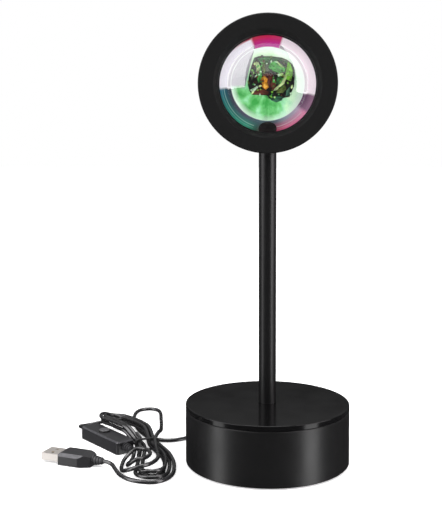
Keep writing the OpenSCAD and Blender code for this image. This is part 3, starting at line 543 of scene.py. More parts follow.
def hank_point(turn):
    """The hank's centre line: in on the lower layer, and out again on the upper one."""
    radius = FOLD_R + FOLD_PITCH * abs(turn - MIDDLE_TURN)
    along, across = loop_point((turn + FIRST_TURN) % 1.0, radius)
    across *= 1 - WAIST_IN / radius * math.exp(-(along / WAIST_LEN) ** 2)
    height = CORD_Z + LAYER_H * smooth_step((turn - MIDDLE_TURN + CLIMB) / (2 * CLIMB))
    lean = LOBE_UP - LOBE_TILT * smooth_step((across + 0.004) / 0.012)
    height += lean * smooth_step((-0.001 - along) / 0.019)
    height += TIE_UP * math.exp(-(along / TIE_LEN) ** 2)
    angle = SPINE_TURN - along / SPINE_R
    reach = SPINE_R + across
    return Vector((SPINE_AT[0] + reach * math.cos(angle),
                   SPINE_AT[1] + reach * math.sin(angle), height))


def spline_through(points, steps):
    """A smooth line through points."""
    points = [Vector(p) for p in points]
    ends = [2 * points[0] - points[1], *points, 2 * points[-1] - points[-2]]
    line = []
    for a, b, c, d in zip(ends, ends[1:], ends[2:], ends[3:]):
        for step in range(steps):
            t = step / steps
            line.append(0.5 * (2 * b + (c - a) * t + (2 * a - 5 * b + 4 * c - d) * t * t
                               + (3 * b - a - 3 * c + d) * t ** 3))
    return [*line, points[-1]]


def stretch(start, start_way, middle, end, end_way, thickness, steps, low=CORD_Z):
    """A stretch between two ends, straight for one thickness at each."""
    start, end = Vector(start), Vector(end)
    inner = [start + thickness * start_way, *middle, end - thickness * end_way]
    line = [start, *spline_through(inner, steps), end]
    return [Vector((p.x, p.y, max(p.z, low))) for p in line]


def placed(at, turn, along, across, height):
    """A point of the switch's or the plug's own frame, in the lamp's frame."""
    return Vector((at[0] + along * math.cos(turn) - across * math.sin(turn),
                   at[1] + along * math.sin(turn) + across * math.cos(turn), height))


def way(turn):
    return Vector((math.cos(turn), math.sin(turn), 0))


def line_length(points):
    return sum((b - a).length for a, b in zip(points, points[1:]))


def hank_line(per_turn=144):
    """The hank's points, and the ways that its two ends run."""
    turns = [hank_point(i / per_turn) for i in range(round(HANK_TURNS * per_turn) + 1)]
    start_way = (turns[6] - turns[0]).normalized()
    end_way = (turns[-1] - turns[-7]).normalized()
    return turns, start_way, end_way


class LAMP_OT_cord(bpy.types.Operator):
    """Lay the cord: the lead to the switch, and the bundle from the switch to the plug"""

    bl_idname = "lamp.cord"
    bl_label = "Cord"

    def execute(self, context):
        sizes = context.scene.lamp_cord
        sheath = soft_rubber("cord_sheath", tuple(context.scene.lamp_colours.cord), 0.24, 0.95)
        steps = sizes.smoothness
        into_switch = way(SWITCH_TURN + math.pi)
        switch_in = placed(SWITCH_AT, SWITCH_TURN, SWITCH_LEN / 2 + RELIEF_IN, 0, SWITCH_H / 2)
        switch_out = placed(SWITCH_AT, SWITCH_TURN, -SWITCH_LEN / 2 - RELIEF_OUT, 0, SWITCH_H / 2)
        plug_end = placed(PLUG_AT, PLUG_TURN, PLUG_REACH, 0, PLUG_Z)

        lead = stretch(EXIT, Vector((0, 1, 0)), LEAD_ROUTE, switch_in, into_switch, CORD_D, steps)
        lead_cord = cord_curve("cord_to_switch", lead, sizes.thickness, sheath)
        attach(lead_cord, "stand")
        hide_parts("cord_lead")
        round(line_length(lead), 3)

        turns, start_way, end_way = hank_line()
        start = turns[0] - CORD_D * start_way
        end = turns[-1] + CORD_D * end_way
        out = stretch(switch_out, into_switch, OUT_ROUTE, start, start_way, CORD_D, steps)
        last = stretch(end, end_way, PLUG_ROUTE, plug_end, way(PLUG_TURN + math.pi), CORD_D, steps)
        bundle = [*out[:-1], start, *turns, end, *last[1:]]
        bundle_cord = cord_curve("cord_to_plug_end", bundle, sizes.thickness, sheath)
        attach(bundle_cord, "stand")
        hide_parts("cord_from_switch", "cord_hank", "cord_to_plug")
        round(line_length(bundle), 3)

        forwards, up = Vector((0, -1, 0)), Vector((0, 0, 1))
        down_and_back = Vector((0, 0.6, -1)).normalized()
        inner = stretch(INNER_START, forwards, INNER_ROUTE, INNER_END, up, WIRE_D, 5, 0)
        board = stretch(BOARD_START, forwards, BOARD_ROUTE, BOARD_END, down_and_back,
                        WIRE_D / 2, 4, 0)
        for name, body, node, line in (("wire_through_pole", "stand", "inner_wire", inner),
                                       ("wire_to_board", "head", "led_wire", board)):
            wire = cord_curve(name, line, WIRE_D, sheath, WIRE_SIDES)
            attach(wire, body)
            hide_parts(node)
        return {"FINISHED"}


class LAMP_OT_studio(bpy.types.Operator):
    """Set the camera at the photograph's angle, with a pale floor and soft side lights"""

    bl_idname = "lamp.studio"
    bl_label = "Studio"

    def execute(self, context):
        studio = context.scene.lamp_studio
        context.scene.view_settings.view_transform = "Standard"
        self.camera(context, studio)
        self.floor()
        self.world(context)
        self.lights(studio)
        return {"FINISHED"}

    def camera(self, context, studio):
        """A level camera but for a slight roll; the shift frames the lamp and its cord."""
        shift, roll = -0.124, math.radians(0.12)
        lens = bpy.data.cameras.new("camera")
        lens.lens = studio.focal
        lens.sensor_width = 36
        lens.shift_y = shift
        lens.clip_start = 0.01
        camera = new_object("camera", lens)
        camera.location = (0, -studio.distance, studio.height)
        camera.rotation_euler = (math.pi / 2 - studio.pitch, roll, studio.yaw)
        context.scene.camera = camera

    def floor(self):
        """A white floor: its glow falls short of white near the lamp, so the shadows there show."""
        reach, near, far, near_glow, far_glow, glow_share = 4, 0.12, 0.9, 0.62, 1.1, 0.8
        bm = bmesh.new()
        bmesh.ops.create_grid(bm, x_segments=1, y_segments=1, size=reach)
        finish = Finish("floor_white", (0.9, 0.9, 0.9), 0.9, specular=0.0)
        finish.set("Emission Color", (1, 1, 1))
        x, y, _ = finish.axes()
        away = (x * x + y * y).math("SQRT")
        glow = finish.node("Emission", Color=(1, 1, 1),
                           Strength=finish.between(away, near, far, near_glow, far_glow))
        through = finish.node("LightPath", "Is Transmission Ray")
        seen = finish.node("LightPath", "Is Camera Ray") + through
        glow_and_lit = finish.node("AddShader", in_0=glow, in_1=finish.lit)
        mixed = finish.node("MixShader", in_0=seen * glow_share, in_1=finish.lit, in_2=glow_and_lit)
        mixed.feed(finish.surface)
        floor = object_from("floor", bm, finish.material, smooth=False)
        floor.visible_glossy = False
        floor.visible_shadow = False

    def world(self, context):
        """White to the camera; a dim room, brighter upwards, to everything that reflects it."""
        room, dimmest, brightest, rise, start = 0.30, 0.04, 0.34, 5.0, -1.35
        world = bpy.data.worlds.new("studio")
        world.use_nodes = True
        context.scene.world = world
        tree = Tree(world.node_tree)
        _, _, up = tree.split(tree.node("TexCoord", "Generated"))
        bounced = tree.node("LightPath", "Diffuse Depth") + tree.node("LightPath", "Glossy Depth")
        through = tree.node("LightPath", "Is Transmission Ray") * (bounced < 0.5)
        seen = tree.node("LightPath", "Is Camera Ray") + through
        dim = up.math("MULTIPLY_ADD", rise, start)
        dim = dim.math("MAXIMUM", dimmest).math("MINIMUM", brightest)
        shiny = tree.node("LightPath", "Is Glossy Ray")
        strength = seen * (1 - room) + shiny * (dim - room) + room
        background = world.node_tree.nodes["Background"]
        give(background.inputs["Color"], (1, 1, 1))
        give(background.inputs["Strength"], strength)

    def softbox(self, name, place, turn, width, height, radiance, colour=(1, 1, 1)):
        """A rectangular softbox of a given radiance."""
        lamp = bpy.data.lights.new(name, "AREA")
        lamp.shape = "RECTANGLE"
        lamp.size = width
        lamp.size_y = height
        lamp.energy = radiance * math.pi * width * height
        lamp.color = colour
        light = new_object(name, lamp)
        light.location = place
        light.rotation_euler = turn

    def lights(self, studio):
        """Tall softboxes at the sides, one overhead, and low strips for the edges of the stand."""
        bright = studio.softbox
        upright = math.pi / 2
        self.softbox("softbox_left", (-0.75, -0.44, 1.175), (upright, 0, -upright), 0.96, 2.05,
                     bright, (1, 0.98, 1))
        self.softbox("softbox_right", (0.75, -0.28, 1.12), (upright, 0, upright), 0.68, 2.16,
                     bright, (1, 0.94, 0.97))
        self.softbox("softbox_top", (0, 0.15, 1.25), (0, 0, 0), 0.7, 0.7, bright * 2)
        away = 0.9
        for name, bearing, middle, width, height, share in (
                ("strip_left", math.radians(-69), -0.255, 0.28, 0.89, 1.15),
                ("strip_right", math.radians(61), -0.27, 0.32, 0.86, 1.5)):
            place = (away * math.sin(bearing), -away * math.cos(bearing), middle)
            self.softbox(name, place, (upright, 0, bearing), width, height, bright * share)


class LAMP_OT_stand(bpy.types.Operator):
    """Finish the base, the pole and what is inside them"""

    bl_idname = "lamp.stand"
    bl_label = "Base and pole"

    def execute(self, context):
        colours = context.scene.lamp_colours
        lid_black = tuple(0.6 * part for part in colours.paint)
        finish_nodes(satin_paint("base_paint", tuple(colours.paint), 0.33, 0.35), "base_shell")
        finish_nodes(satin_paint("lid_paint", lid_black, 0.15, 0.2), "base_lid")
        finish_nodes(satin_paint("pole_paint", tuple(colours.paint), 0.34, 0.3, 0.02), "pole",
                     "pole_knuckle")
        finish_nodes(soft_rubber("pad_rubber", (0.02, 0.02, 0.021), 0.8), "base_pad",
                     "cord_grommet")
        finish_nodes(metal("zinc_steel", (0.55, 0.56, 0.58), 0.35), "plate_screws", "weight_screws",
                     "clamp_screws", "pole_washer", "pole_nut")
        finish_nodes(metal("blackened_steel", (0.06, 0.06, 0.065), 0.45), "bottom_plate")
        finish_nodes(cast_metal("cast_weight", (0.22, 0.22, 0.23)), "counterweight")
        finish_nodes(metal("turned_brass", (0.78, 0.6, 0.28), 0.3), "pole_nipple")
        finish_nodes(moulded_plastic("clamp_nylon", (0.72, 0.71, 0.66), 0.5), "cord_clamp")
        return {"FINISHED"}


class LAMP_OT_head(bpy.types.Operator):
    """Finish the head's shell, its ring, the hinge and the parts behind the filter"""

    bl_idname = "lamp.head"
    bl_label = "Head"

    def execute(self, context):
        colours = context.scene.lamp_colours
        finish_nodes(satin_paint("ring_paint", tuple(colours.ring), 0.62, 0.16), "front_bezel")
        finish_nodes(satin_paint("shell_paint", tuple(colours.ring), 0.5, 0.3), "head_shell",
                     "rear_cover")
        finish_nodes(metal("dark_bolt", (0.08, 0.08, 0.085), 0.35), "hinge_bolt", "hinge_nut",
                     "cover_screws", "sink_screws")
        finish_nodes(metal("washer_steel", (0.6, 0.6, 0.62), 0.3), "hinge_washers", "board_screws")
        finish_nodes(soft_rubber("seal_rubber", (0.02, 0.02, 0.02), 0.7), "lens_seal")
        finish_nodes(moulded_plastic("holder_plastic", (0.02, 0.02, 0.022), 0.45), "filter_holder",
                     "light_tunnel")
        finish_nodes(moulded_plastic("board_mask", (0.82, 0.83, 0.8), 0.35, 900), "led_board")
        finish_nodes(moulded_plastic("chip_phosphor", (0.9, 0.72, 0.12), 0.3, 3000), "led_chip")
        finish_nodes(metal("sink_aluminium", (0.68, 0.69, 0.7), 0.35, (1, 1, 8)), "heat_sink")
        return {"FINISHED"}


SOOT, MAROON = (0.010, 0.009, 0.012), (0.13, 0.03, 0.02)
AMBER, GOLD = (0.80, 0.30, 0.02), (1.0, 0.56, 0.08)
MOSS, LEAF = (0.03, 0.17, 0.04), (0.08, 0.48, 0.08)
LIME, STRAW = (0.24, 0.68, 0.06), (0.70, 0.90, 0.40)
OLIVE, ASH = (0.14, 0.20, 0.04), (0.12, 0.14, 0.09)
TEAL, MIST = (0.05, 0.17, 0.11), (0.62, 0.85, 0.62)
WHITE, GREY, FAINT, BLACK = (1, 1, 1), (0.5, 0.5, 0.5), (0.2, 0.2, 0.2), (0, 0, 0)

# The leaves of the cluster, from the bed upwards: a tone, and an outline in units of LEAF_SIZE
# round a point CLUSTER_UP above the head's axis
LEAF_SIZE = 0.00096
CLUSTER_UP = 0.0011
LEAVES = (
    (SOOT, ((-7.1, 12.5), (-4.7, 13.3), (1, 13.3), (7.6, 12.5), (10.5, 11.2), (13, 9.1),
            (14.2, 5.6), (14.2, 2), (13.8, -2.5), (11.5, -7.9), (7.6, -8.7), (1.4, -9),
            (-0.5, -7.1), (-7.8, -6.8), (-9.4, -4.8), (-10.3, -1.7), (-9.8, 3.3), (-8.6, 7.9))),
    (TEAL, ((0.7, -7.5), (8.4, -7.9), (7.2, -9.8), (4.5, -10.8), (1.8, -9.7))),
    (MOSS, ((-5.5, 12.2), (0.7, 13.1), (7.6, 12.2), (8.4, 10.6), (3.4, 11.2), (-0.1, 9.1),
            (-4, 10.6))),
    (ASH, ((7.6, 12.2), (10.3, 11.2), (12.2, 9.6), (10, 9.2), (8, 9.9))),
    (STRAW, ((-6.4, 10.4), (-4.9, 10.2), (-3.6, 7.1), (-4.2, 3.7), (-5.9, 5.2))),
    (LEAF, ((-5.5, 7.1), (-3.6, 7.5), (-3, 2.9), (-2.8, -1.7), (-4.7, -1), (-5.9, 2.9))),
    (OLIVE, ((-3, 10.6), (-1.7, 10.6), (-1.1, 5.6), (-2, 3.7), (-3.2, 7.1))),
    (ASH, ((-1.5, 9.8), (0.3, 9.1), (1, 5.6), (-0.9, 5.2))),
    (LEAF, ((1.4, 9.5), (4.1, 11.2), (6.8, 9.5), (9.3, 7.1), (8.8, 5), (5.3, 4.6), (2.2, 5.6),
            (0.3, 7.5))),
    (STRAW, ((4, 10.8), (4.9, 10.9), (8.7, 7.1), (7.8, 6.6))),
    (LIME, ((10.7, 10.6), (12.2, 9.1), (13.4, 5.2), (12.2, 0.2), (9.9, 1), (9, 3.3), (9.9, 6.8))),
    (MOSS, ((5.2, 2.2), (8.8, 2.6), (8.4, 0.2), (5.4, -1.8), (4.6, 0.2))),
    (STRAW, ((9.3, 3.7), (10.1, 2.9), (8.8, -1), (4.5, -4.6), (2.8, -4.8), (3.6, -3.7),
             (7.6, -0.6))),
    (STRAW, ((4.5, 3.7), (8, 4.6), (8.2, 3.7), (6.1, 2.7))),
    (OLIVE, ((4.9, -4.8), (9.2, -1.4), (9.7, -4.1), (8, -6), (4.5, -6))),
    (TEAL, ((9.9, -4.8), (11.9, -2.5), (11.5, -7.5), (9.5, -7.9))),
    (MAROON, ((-2.6, 3.5), (-0.5, 4.2), (2.6, 3.9), (4.3, 0.6), (4.1, -2.9), (2.2, -4.8),
              (0.3, -2.5), (0.3, 1.4))),
    (MAROON, ((-7.6, -5.4), (-4.9, -3.7), (-1.7, -4.4), (0.7, -5.4), (-0.1, -6.8), (-7.8, -6.6))),
    (AMBER, ((-3.4, 1.7), (-2.1, 2.9), (0.2, 2), (-0.3, -0.3), (0.6, -2.9), (-1, -4.2),
             (-2.6, -2.9), (-4, -1.8), (-2.5, 0.1))),
    (GOLD, ((-2.8, 2), (-1.6, 2.4), (-0.4, 1.4), (-1.8, 0.9))),
    (GOLD, ((-2.6, -1), (-1.1, -0.6), (0.1, -2.5), (-1.7, -3.7))),
    (MIST, ((-9.4, -4.4), (-7.8, -3.7), (-5.5, -2.1), (-4.9, -3.1), (-7.8, -5.8))),
    (MAROON, ((-7.9, 9.1), (-6.9, 8.7), (-7.1, 7.1), (-8.1, 7.5))),
    (ASH, ((-9, 3.4), (-7.6, 5.6), (-7.5, 2.4), (-8.4, 0.6))),
)


class LAMP_OT_lens(bpy.types.Operator):
    """Build the domed lens, its tinted rim ring and the faceted colour filter behind it"""

    bl_idname = "lamp.lens"
    bl_label = "Lens and filter"

    def execute(self, context):
        self.dome()
        self.tint_ring()
        self.filter_disc(tuple(context.scene.lamp_colours.film))
        return {"FINISHED"}

    def dome(self):
        """A clear plano-convex lens; its front is a cap of a sphere, inside a flat rim."""
        rim_front = LENS_BACK + 0.0025
        dome_r = LENS_R - 0.0018
        edge = 0.0002
        bulge = LENS_FRONT - rim_front
        ball_r = (dome_r ** 2 + bulge ** 2) / (2 * bulge)
        steep = math.asin(dome_r / ball_r)
        steps = 40
        cap = [(ball_r * math.sin(steep * i / steps),
                LENS_FRONT - ball_r + ball_r * math.cos(steep * i / steps))
               for i in range(steps + 1)]
        profile = [*cap, (LENS_R - edge, rim_front), (LENS_R, rim_front - edge),
                   (LENS_R, LENS_BACK + edge), (LENS_R - edge, LENS_BACK), (0, LENS_BACK)]
        bm = bmesh.new()
        turned_on_head(bm, profile)
        lens = object_from("lens_dome", bm, self.glass("coated_glass", 1.0))
        lens.data.materials.append(self.glass("plain_glass", 0.0))
        for face in lens.data.polygons:
            if -face.center.y < LENS_BACK + 0.0001:
                face.material_index = 1
        self.keep_off(lens, "strip_left", "strip_right")
        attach(lens, "head")
        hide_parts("lens")

    def keep_off(self, piece, *lights):
        """Keeps the low strips, which draw the edges of the stand, out of the lens."""
        spared = bpy.data.collections.new("spared_by_strips")
        spared.objects.link(piece)
        spared.collection_objects[0].light_linking.link_state = "EXCLUDE"
        for name in lights:
            bpy.data.objects[name].light_linking.receiver_collection = spared

    def glass(self, name, coating):
        """Clear glass, coated or bare; the lamps' light passes through it to the filter."""
        finish = Finish(name, (0.99, 0.995, 0.99), 0.0, coat=coating, coat_roughness=0.01)
        finish.set("Transmission Weight", 1.0)
        finish.set("IOR", 1.5)
        finish.set("Coat IOR", 1.8)
        finish.set("Specular IOR Level", 0.5 if coating else 0.12)
        clear = finish.node("BsdfTransparent", Color=(0.96, 0.98, 0.97))
        shadow = finish.node("LightPath", "Is Shadow Ray")
        mixed = finish.node("MixShader", in_0=shadow, in_1=finish.lit, in_2=clear)
        mixed.feed(finish.surface)
        return finish.material

    def tint_ring(self):
        """A thin cone round the filter, in the colours of the coating, with painted reflections of
        the side softboxes and a painted glow.
        """
        inner_r = FILTER_R - 0.0011
        outer_r = LENS_R - 0.0022
        front = LENS_BACK - 0.0001
        bm = bmesh.new()
        turned_on_head(bm, [(inner_r, FILTER_FRONT + 0.0002), (outer_r, front),
                            (outer_r, front - 0.0006),
                            (inner_r, FILTER_FRONT + 0.0001), (inner_r, FILTER_FRONT + 0.0002)])
        bmesh.ops.remove_doubles(bm, verts=bm.verts, dist=0.00001)
        ring = object_from("coating_ring", bm, self.tint(inner_r, outer_r))
        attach(ring, "head")

    def tint(self, inner_r, outer_r):
        """The ring's hues, with painted reflections in pale bands. Turn, 0 to 1, is clockwise from
        the top; reach starts inside.
        """
        finish = Finish("tint_ring", GREY, 0.25, specular=0.3)
        x, _, z = finish.axes()
        up = z - HEAD_Z
        angle = x.math("ARCTAN2", up) / (2 * math.pi)
        turn = angle + (angle < 0.0)
        reach = finish.between((x * x + up * up).math("SQRT"), inner_r, outer_r)
        # Painted reflections: the pale bands at the left and right of the ring stand for the side
        # softboxes mirrored in the lens.
        left_painted_reflection, right_painted_reflection = (0.90, 0.87, 0.95), (0.95, 0.82, 0.90)
        outer = finish.ramp(turn, [
            (0.000, (0.74, 0.02, 0.11)), (0.047, (0.70, 0.04, 0.17)), (0.052, right_painted_reflection),
            (0.285, right_painted_reflection), (0.292, (0.30, 0.16, 0.25)), (0.345, (0.36, 0.18, 0.30)),
            (0.355, (0.85, 0.30, 0.50)), (0.440, (0.72, 0.14, 0.28)), (0.480, (0.30, 0.03, 0.06)),
            (0.540, (0.03, 0.10, 0.07)), (0.575, (0.04, 0.34, 0.22)), (0.680, (0.02, 0.22, 0.20)),
            (0.730, (0.02, 0.16, 0.24)), (0.738, left_painted_reflection), (0.940, left_painted_reflection),
            (0.947, (0.62, 0.03, 0.08)), (1.000, (0.74, 0.02, 0.11))])
        inner = finish.ramp(turn, [
            (0.000, (0.50, 0.012, 0.30)), (0.047, (0.48, 0.015, 0.31)), (0.052, right_painted_reflection),
            (0.285, right_painted_reflection), (0.292, (0.10, 0.04, 0.10)), (0.345, (0.16, 0.08, 0.15)),
            (0.360, (0.45, 0.36, 0.48)), (0.430, (0.22, 0.26, 0.32)), (0.470, (0.07, 0.10, 0.13)),
            (0.540, (0.06, 0.12, 0.14)), (0.600, (0.07, 0.07, 0.12)), (0.700, (0.045, 0.05, 0.08)),
            (0.732, (0.03, 0.05, 0.06)), (0.738, left_painted_reflection), (0.940, left_painted_reflection),
            (0.947, (0.50, 0.012, 0.28)), (1.000, (0.50, 0.012, 0.30))])
        pale = finish.ramp(turn, [(0.00, BLACK), (0.050, WHITE), (0.285, BLACK), (0.738, WHITE),
                                  (0.943, BLACK)], "CONSTANT")
        lined = finish.ramp(turn, [(0.00, BLACK), (0.360, WHITE), (0.465, BLACK), (0.550, WHITE),
                                   (0.735, BLACK)], "CONSTANT")
        blush = finish.ramp(turn, [(0.00, BLACK), (0.870, BLACK), (0.930, WHITE), (0.943, WHITE),
                                   (0.944, BLACK)])
        line = finish.ramp(reach, [(0.00, BLACK), (0.50, BLACK), (0.53, GREY), (0.57, BLACK),
                                   (0.68, BLACK), (0.70, FAINT), (0.74, BLACK)])
        drop = up + 0.0247
        knob = (x * x + drop * drop).math("SQRT") < 0.005
        hues = finish.mix(finish.between(reach, 0.15, 0.75), inner, outer)
        # Inside the painted reflection bands, the ring darkens toward its inner edge.
        for share, hue in ((pale * finish.between(reach, 0.26, 0.20) * 0.8, (0.14, 0.13, 0.15)),
                           (blush * finish.between(reach, 0.74, 0.84), (0.45, 0.02, 0.07)),
                           (line * lined, (0.60, 0.95, 0.80)),
                           (finish.between(reach, 0.025, 0.015), (0.75, 0.85, 0.78)),
                           (knob, (0.012, 0.010, 0.011))):
            hues = finish.mix(share, hues, hue)
        # Painted glow: the ring emits its own hues, more in the painted reflection bands, though it
        # is no lamp.
        glow = finish.mix(pale, finish.mix(0.72, hues, BLACK), finish.mix(0.45, hues, BLACK))
        finish.set("Base Color", hues)
        finish.set("Emission Color", glow)
        finish.set("Emission Strength", 0.5)
        return finish.material

    def filter_disc(self, film_colour):
        """The filter: a pale disc, greener at the lower left, under a cluster of cut leaves."""
        bm = bmesh.new()
        edge = 0.0002
        turned_on_head(bm, [(0, FILTER_FRONT), (FILTER_R - edge, FILTER_FRONT),
                            (FILTER_R, FILTER_FRONT - edge), (FILTER_R, FILTER_BACK + edge),
                            (FILTER_R - edge, FILTER_BACK), (0, FILTER_BACK)])
        finish = Finish("filter_film", film_colour, 0.12, specular=0.4)
        x, _, z = finish.axes()
        across = x / FILTER_R
        up = (z - HEAD_Z) / FILTER_R
        reach = across * across + up * up
        round_axis = finish.node("CombineXYZ", X=x.math("ARCTAN2", z - HEAD_Z))
        rays = finish.node("TexNoise", "Fac", Vector=round_axis, Scale=1.7, Detail=2.0)
        clouds = finish.noise(170, 5)
        tone = up * 0.38 + across * 0.26 + reach * 0.34 + rays * 0.8 + clouds * 0.8 - 0.51
        greens = finish.ramp(tone, [
            (0.06, (0.05, 0.36, 0.07)), (0.20, (0.16, 0.60, 0.19)), (0.34, film_colour),
            (0.50, (0.60, 0.95, 0.56)), (0.70, (0.72, 0.98, 0.68)), (0.95, (0.86, 0.98, 0.86))])
        rim = finish.between(reach, 0.60, 0.84) * finish.between(up, -1.0, -0.55, 0.35, 0.85)
        greens = finish.mix(rim, greens, (0.80, 0.98, 0.86))
        greens = finish.mix(finish.between(across, 0.45, 0.85) * 0.9, greens, (0.50, 0.62, 0.54))
        shaded = finish.between(across - up * 0.23, -0.53, -0.56) * finish.between(up, -0.14, -0.02)
        hues = finish.mix(shaded * 0.95, greens, (0.24, 0.22, 0.27))
        finish.set("Base Color", hues)
        # Painted glow: the film emits its own hues, though it is no lamp.
        finish.set("Emission Color", hues)
        finish.set("Emission Strength", 0.18)
        film = object_from("filter_film", bm, finish.material)
        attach(film, "head")
        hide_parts("filter_disc")
        self.leaves()

    def leaves(self):
        """Cut leaves on the filter, each a low pyramid of one tone, over a dark bed."""
        bm = bmesh.new()
        layer = bm.loops.layers.float_color.new("leaf")
        floor = FILTER_FRONT + 0.00005
        gap, step, wall, point = 0.0002, 0.00004, 0.00022, 0.0003
        for index, (colour, outline) in enumerate(LEAVES):
            high = floor + gap + step * index + wall
            rim = [(LEAF_SIZE * x, LEAF_SIZE * z + CLUSTER_UP) for x, z in outline]
            middle_x = sum(x for x, z in rim) / len(rim)
            middle_z = sum(z for x, z in rim) / len(rim)
            bottom = [bm.verts.new((x, -floor, HEAD_Z + z)) for x, z in rim]
            top = [bm.verts.new((x, -high, HEAD_Z + z)) for x, z in rim]
            peak = bm.verts.new((middle_x, -high - point, HEAD_Z + middle_z))
            faces = [bm.faces.new(bottom)]
            for i in range(len(rim)):
                j = (i + 1) % len(rim)
                faces.append(bm.faces.new((bottom[i], bottom[j], top[j], top[i])))
                faces.append(bm.faces.new((top[i], top[j], peak)))
            for turn, face in enumerate(faces):
                shade = 0.72 + 0.28 * math.cos(2.1 * turn + index)
                for loop in face.loops:
                    loop[layer] = (*(shade * part for part in colour), 1)
        finish = Finish("cut_leaves", (0.1, 0.4, 0.12), 0.25, specular=0.2)
        self.vein(finish, finish.node("Attribute", "Color", {"attribute_name": "leaf"}), 0.4)
        cluster = object_from("filter_leaves", bm, finish.material, smooth=False)
        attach(cluster, "head")
        self.slivers()

    def vein(self, finish, hue, depth):
        """Darkens a cut piece's hue along fine veins."""
        veins = finish.between(finish.noise(900, 4), 0.35, 0.65)
        finish.set("Base Color", finish.mix(veins * depth, hue,
                                            finish.mix(0.5, hue, (0.01, 0.02, 0.01))))

    def slivers(self):
        """Cut slivers that stand on the filter among the leaves, scattered by Geometry Nodes."""
        bed = bmesh.new()
        corners = [bed.verts.new((LEAF_SIZE * x, -FILTER_FRONT,
                                  HEAD_Z + LEAF_SIZE * z + CLUSTER_UP))
                   for x, z in LEAVES[0][1]]
        area = bed.faces.new(corners).calc_area()
        base = bpy.data.meshes.new("sliver_bed")
        bed.to_mesh(base)
        bed.free()

        pattern = Pattern("slivers", Count=110, Seed=4, Smallest=0.0004, Largest=0.0014,
                          Height=0.0017)
        size = pattern.size
        points = pattern.node("DistributePointsOnFaces", "Points", Mesh=pattern.base,
                              Seed=size["Seed"], Density=size["Count"] / area)
        sliver = pattern.node("MeshCone", "Mesh", Vertices=5, Radius_Top=0.6, Radius_Bottom=1.0,
                              Depth=1.0)
        upright, turn = math.pi / 2, 2 * math.pi
        standing = pattern.node("FunctionNodeRandomValue", 0, {"data_type": "FLOAT_VECTOR"},
                                in_0=(upright, 0, 0), in_1=(upright, turn, 0), Seed=size["Seed"])
        wide, long, tone = (
            pattern.node("FunctionNodeRandomValue", 1, {"data_type": "FLOAT"}, in_2=low, in_3=high,
                         Seed=size["Seed"] + step)
            for step, low, high in ((1, size["Smallest"], size["Largest"] * 0.6),
                                    (2, size["Smallest"], size["Largest"]), (3, 0.0, 1.0)))
        scale = pattern.node("ShaderNodeCombineXYZ", X=wide, Y=long,
                             Z=size["Height"] * (1 - tone * 0.3))
        scattered = pattern.node("InstanceOnPoints", Points=points, Instance=sliver,
                                 Rotation=standing,
                                 Scale=scale)
        toned = pattern.node("StoreNamedAttribute", 0, {"data_type": "FLOAT", "domain": "INSTANCE"},
                             Geometry=scattered, Name="tone", Value=tone)

        finish = Finish("cut_slivers", (0.1, 0.4, 0.12), 0.25, specular=0.2)
        tone = finish.node("Attribute", "Fac", {"attribute_name": "tone"})
        hue = finish.ramp(tone, [(0.00, SOOT), (0.34, LEAF), (0.50, STRAW), (0.58, MOSS),
                                 (0.68, MAROON), (0.78, LIME), (0.88, MIST), (0.95, OLIVE)],
                          "CONSTANT")
        self.vein(finish, hue, 0.3)
        cluster = pattern.bake("filter_slivers", base, toned, finish.material)
        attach(cluster, "head")


class LAMP_OT_switch(bpy.types.Operator):
    """Finish the switch: its case, its button and its strain reliefs"""

    bl_idname = "lamp.switch"
    bl_label = "Switch"

    def execute(self, context):
        case = plastic_with_painted_edge_highlight("case_plastic", tuple(context.scene.lamp_colours.case), 0.38)
        finish_nodes(case, "switch_upper", "switch_lower")
        finish_nodes(self.button_plastic(), "switch_button")
        finish_nodes(soft_rubber("relief_rubber", (0.02, 0.02, 0.022), 0.45), "switch_relief_in",
                     "switch_relief_out", "plug_relief")
        finish_nodes(metal("small_screws", (0.08, 0.08, 0.085), 0.4), "switch_screws")
        finish_nodes(moulded_plastic("circuit_green", (0.03, 0.16, 0.06), 0.35, 700), "switch_core")
        return {"FINISHED"}

    def button_plastic(self):
        """The button's crown is painted lighter and its flank darker, painted light and shade from
        above; the crown is also polished smoother.
        """
        finish = Finish("button_plastic", (0.05, 0.05, 0.053), 0.3, specular=0.6)
        crown_painted_lit_and_polished = finish.between(finish.facing_up(), 0.3, 0.75)
        # Painted light and shade: the crown, facing up, is lighter, and the flank is darker.
        finish.set("Base Color", finish.mix(crown_painted_lit_and_polished, (0.005, 0.005, 0.005), (0.085, 0.085, 0.09)))
        finish.set("Roughness", finish.between(crown_painted_lit_and_polished, 0, 1, 0.7, 0.3))
        return finish.material


class LAMP_OT_plug(bpy.types.Operator):
    """Finish the plug's shell, tongue, contacts and grip"""

    bl_idname = "lamp.plug"
    bl_label = "Plug"

    def execute(self, context):
        grip = plastic_with_painted_edge_highlight("grip_plastic", tuple(context.scene.lamp_colours.case), 0.4)
        finish_nodes(grip, "plug_overmould")
        finish_nodes(metal("nickel_shell", (0.74, 0.70, 0.665), 0.44, (6, 1, 1)), "plug_shell")
        finish_nodes(moulded_plastic("tongue_plastic", (0.02, 0.02, 0.021), 0.45), "plug_tongue")
        finish_nodes(metal("gold_contacts", (0.80, 0.55, 0.20), 0.35), "plug_contacts")
        return {"FINISHED"}


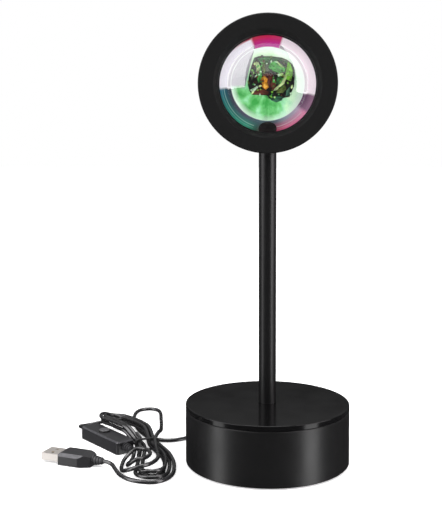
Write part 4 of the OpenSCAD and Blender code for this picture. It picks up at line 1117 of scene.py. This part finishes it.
class LAMP_OT_tie(bpy.types.Operator):
    """Finish the tie round the bundle's waist and add its twisted ends"""

    bl_idname = "lamp.tie"
    bl_label = "Tie"

    def execute(self, context):
        paper = soft_rubber("tie_plastic", (0.02, 0.02, 0.021), 0.42)
        finish_nodes(paper, "hank_tie")
        turns = context.scene.lamp_cord.tail_turns
        _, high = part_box("hank_tie")
        across = Vector((math.cos(SPINE_TURN), math.sin(SPINE_TURN), 0))
        along = Vector((-math.sin(SPINE_TURN), math.cos(SPINE_TURN), 0))
        aside, tail, root_up, tip_up = 0.0035, 0.009, 0.0018, 0.0024
        root = Vector((WAIST[0], WAIST[1], high[2] - 0.0012)) - aside * across
        path = bpy.data.meshes.new("tie_path")
        path.from_pydata([root + Vector((0, 0, root_up)),
                          root + tail * along + Vector((0, 0, tip_up))],
                         [(0, 1)], [])

        pattern = Pattern("twisted_ends", Twists=turns, Spread=0.0006, Wire=0.00045, Steps=60)
        size = pattern.size
        line = pattern.node("ResampleCurve", Curve=pattern.node("MeshToCurve", Mesh=pattern.base),
                            Count=size["Steps"])
        turned = pattern.node("SplineParameter", "Factor") * size["Twists"] * (2 * math.pi)
        ends = pattern.node("JoinGeometry")
        for phase in (0, math.pi):
            sideways = (turned + phase).math("COSINE") * size["Spread"]
            offset = pattern.node("ShaderNodeCombineXYZ", X=sideways * across.x,
                                  Y=sideways * across.y,
                                  Z=(turned + phase).math("SINE") * size["Spread"])
            pattern.node("SetPosition", Geometry=line,
                         Offset=offset).feed(ends.socket.node.inputs[0])
        round_wire = pattern.node("CurvePrimitiveCircle", "Curve", Resolution=10,
                                  Radius=size["Wire"])
        tube = pattern.node("CurveToMesh", Curve=ends, Profile_Curve=round_wire, Fill_Caps=True)
        tails = pattern.bake("tie_ends", path, tube, paper)
        for face in tails.data.polygons:
            face.use_smooth = True
        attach(tails, "stand")
        return {"FINISHED"}


class LAMP_PT_panel(bpy.types.Panel):
    """The lamp's pieces, in the 3D view's sidebar"""

    bl_idname = "LAMP_PT_panel"
    bl_label = "Projection Lamp"
    bl_space_type = "VIEW_3D"
    bl_region_type = "UI"
    bl_category = "Lamp"

    def draw(self, context):
        layout = self.layout
        for group in ("lamp_colours", "lamp_cord", "lamp_studio"):
            settings = getattr(context.scene, group)
            box = layout.box()
            for name in settings.__annotations__:
                box.prop(settings, name)
        for operator in OPERATORS:
            layout.operator(operator.bl_idname)


GROUPS = {"lamp_colours": LampColours, "lamp_cord": LampCord, "lamp_studio": LampStudio}
OPERATORS = (LAMP_OT_studio, LAMP_OT_cord, LAMP_OT_stand, LAMP_OT_head, LAMP_OT_lens,
             LAMP_OT_switch, LAMP_OT_plug, LAMP_OT_tie)
CLASSES = (*GROUPS.values(), *OPERATORS, LAMP_PT_panel)


def register():
    for item in CLASSES:
        bpy.utils.register_class(item)
    for name, group in GROUPS.items():
        setattr(bpy.types.Scene, name, bpy.props.PointerProperty(type=group))


def unregister():
    for name in GROUPS:
        delattr(bpy.types.Scene, name)
    for item in reversed(CLASSES):
        bpy.utils.unregister_class(item)


def main():
    register()
    for operator in OPERATORS:
        group, name = operator.bl_idname.split(".")
        getattr(getattr(bpy.ops, group), name)()


if __name__ == "__main__":
    main()
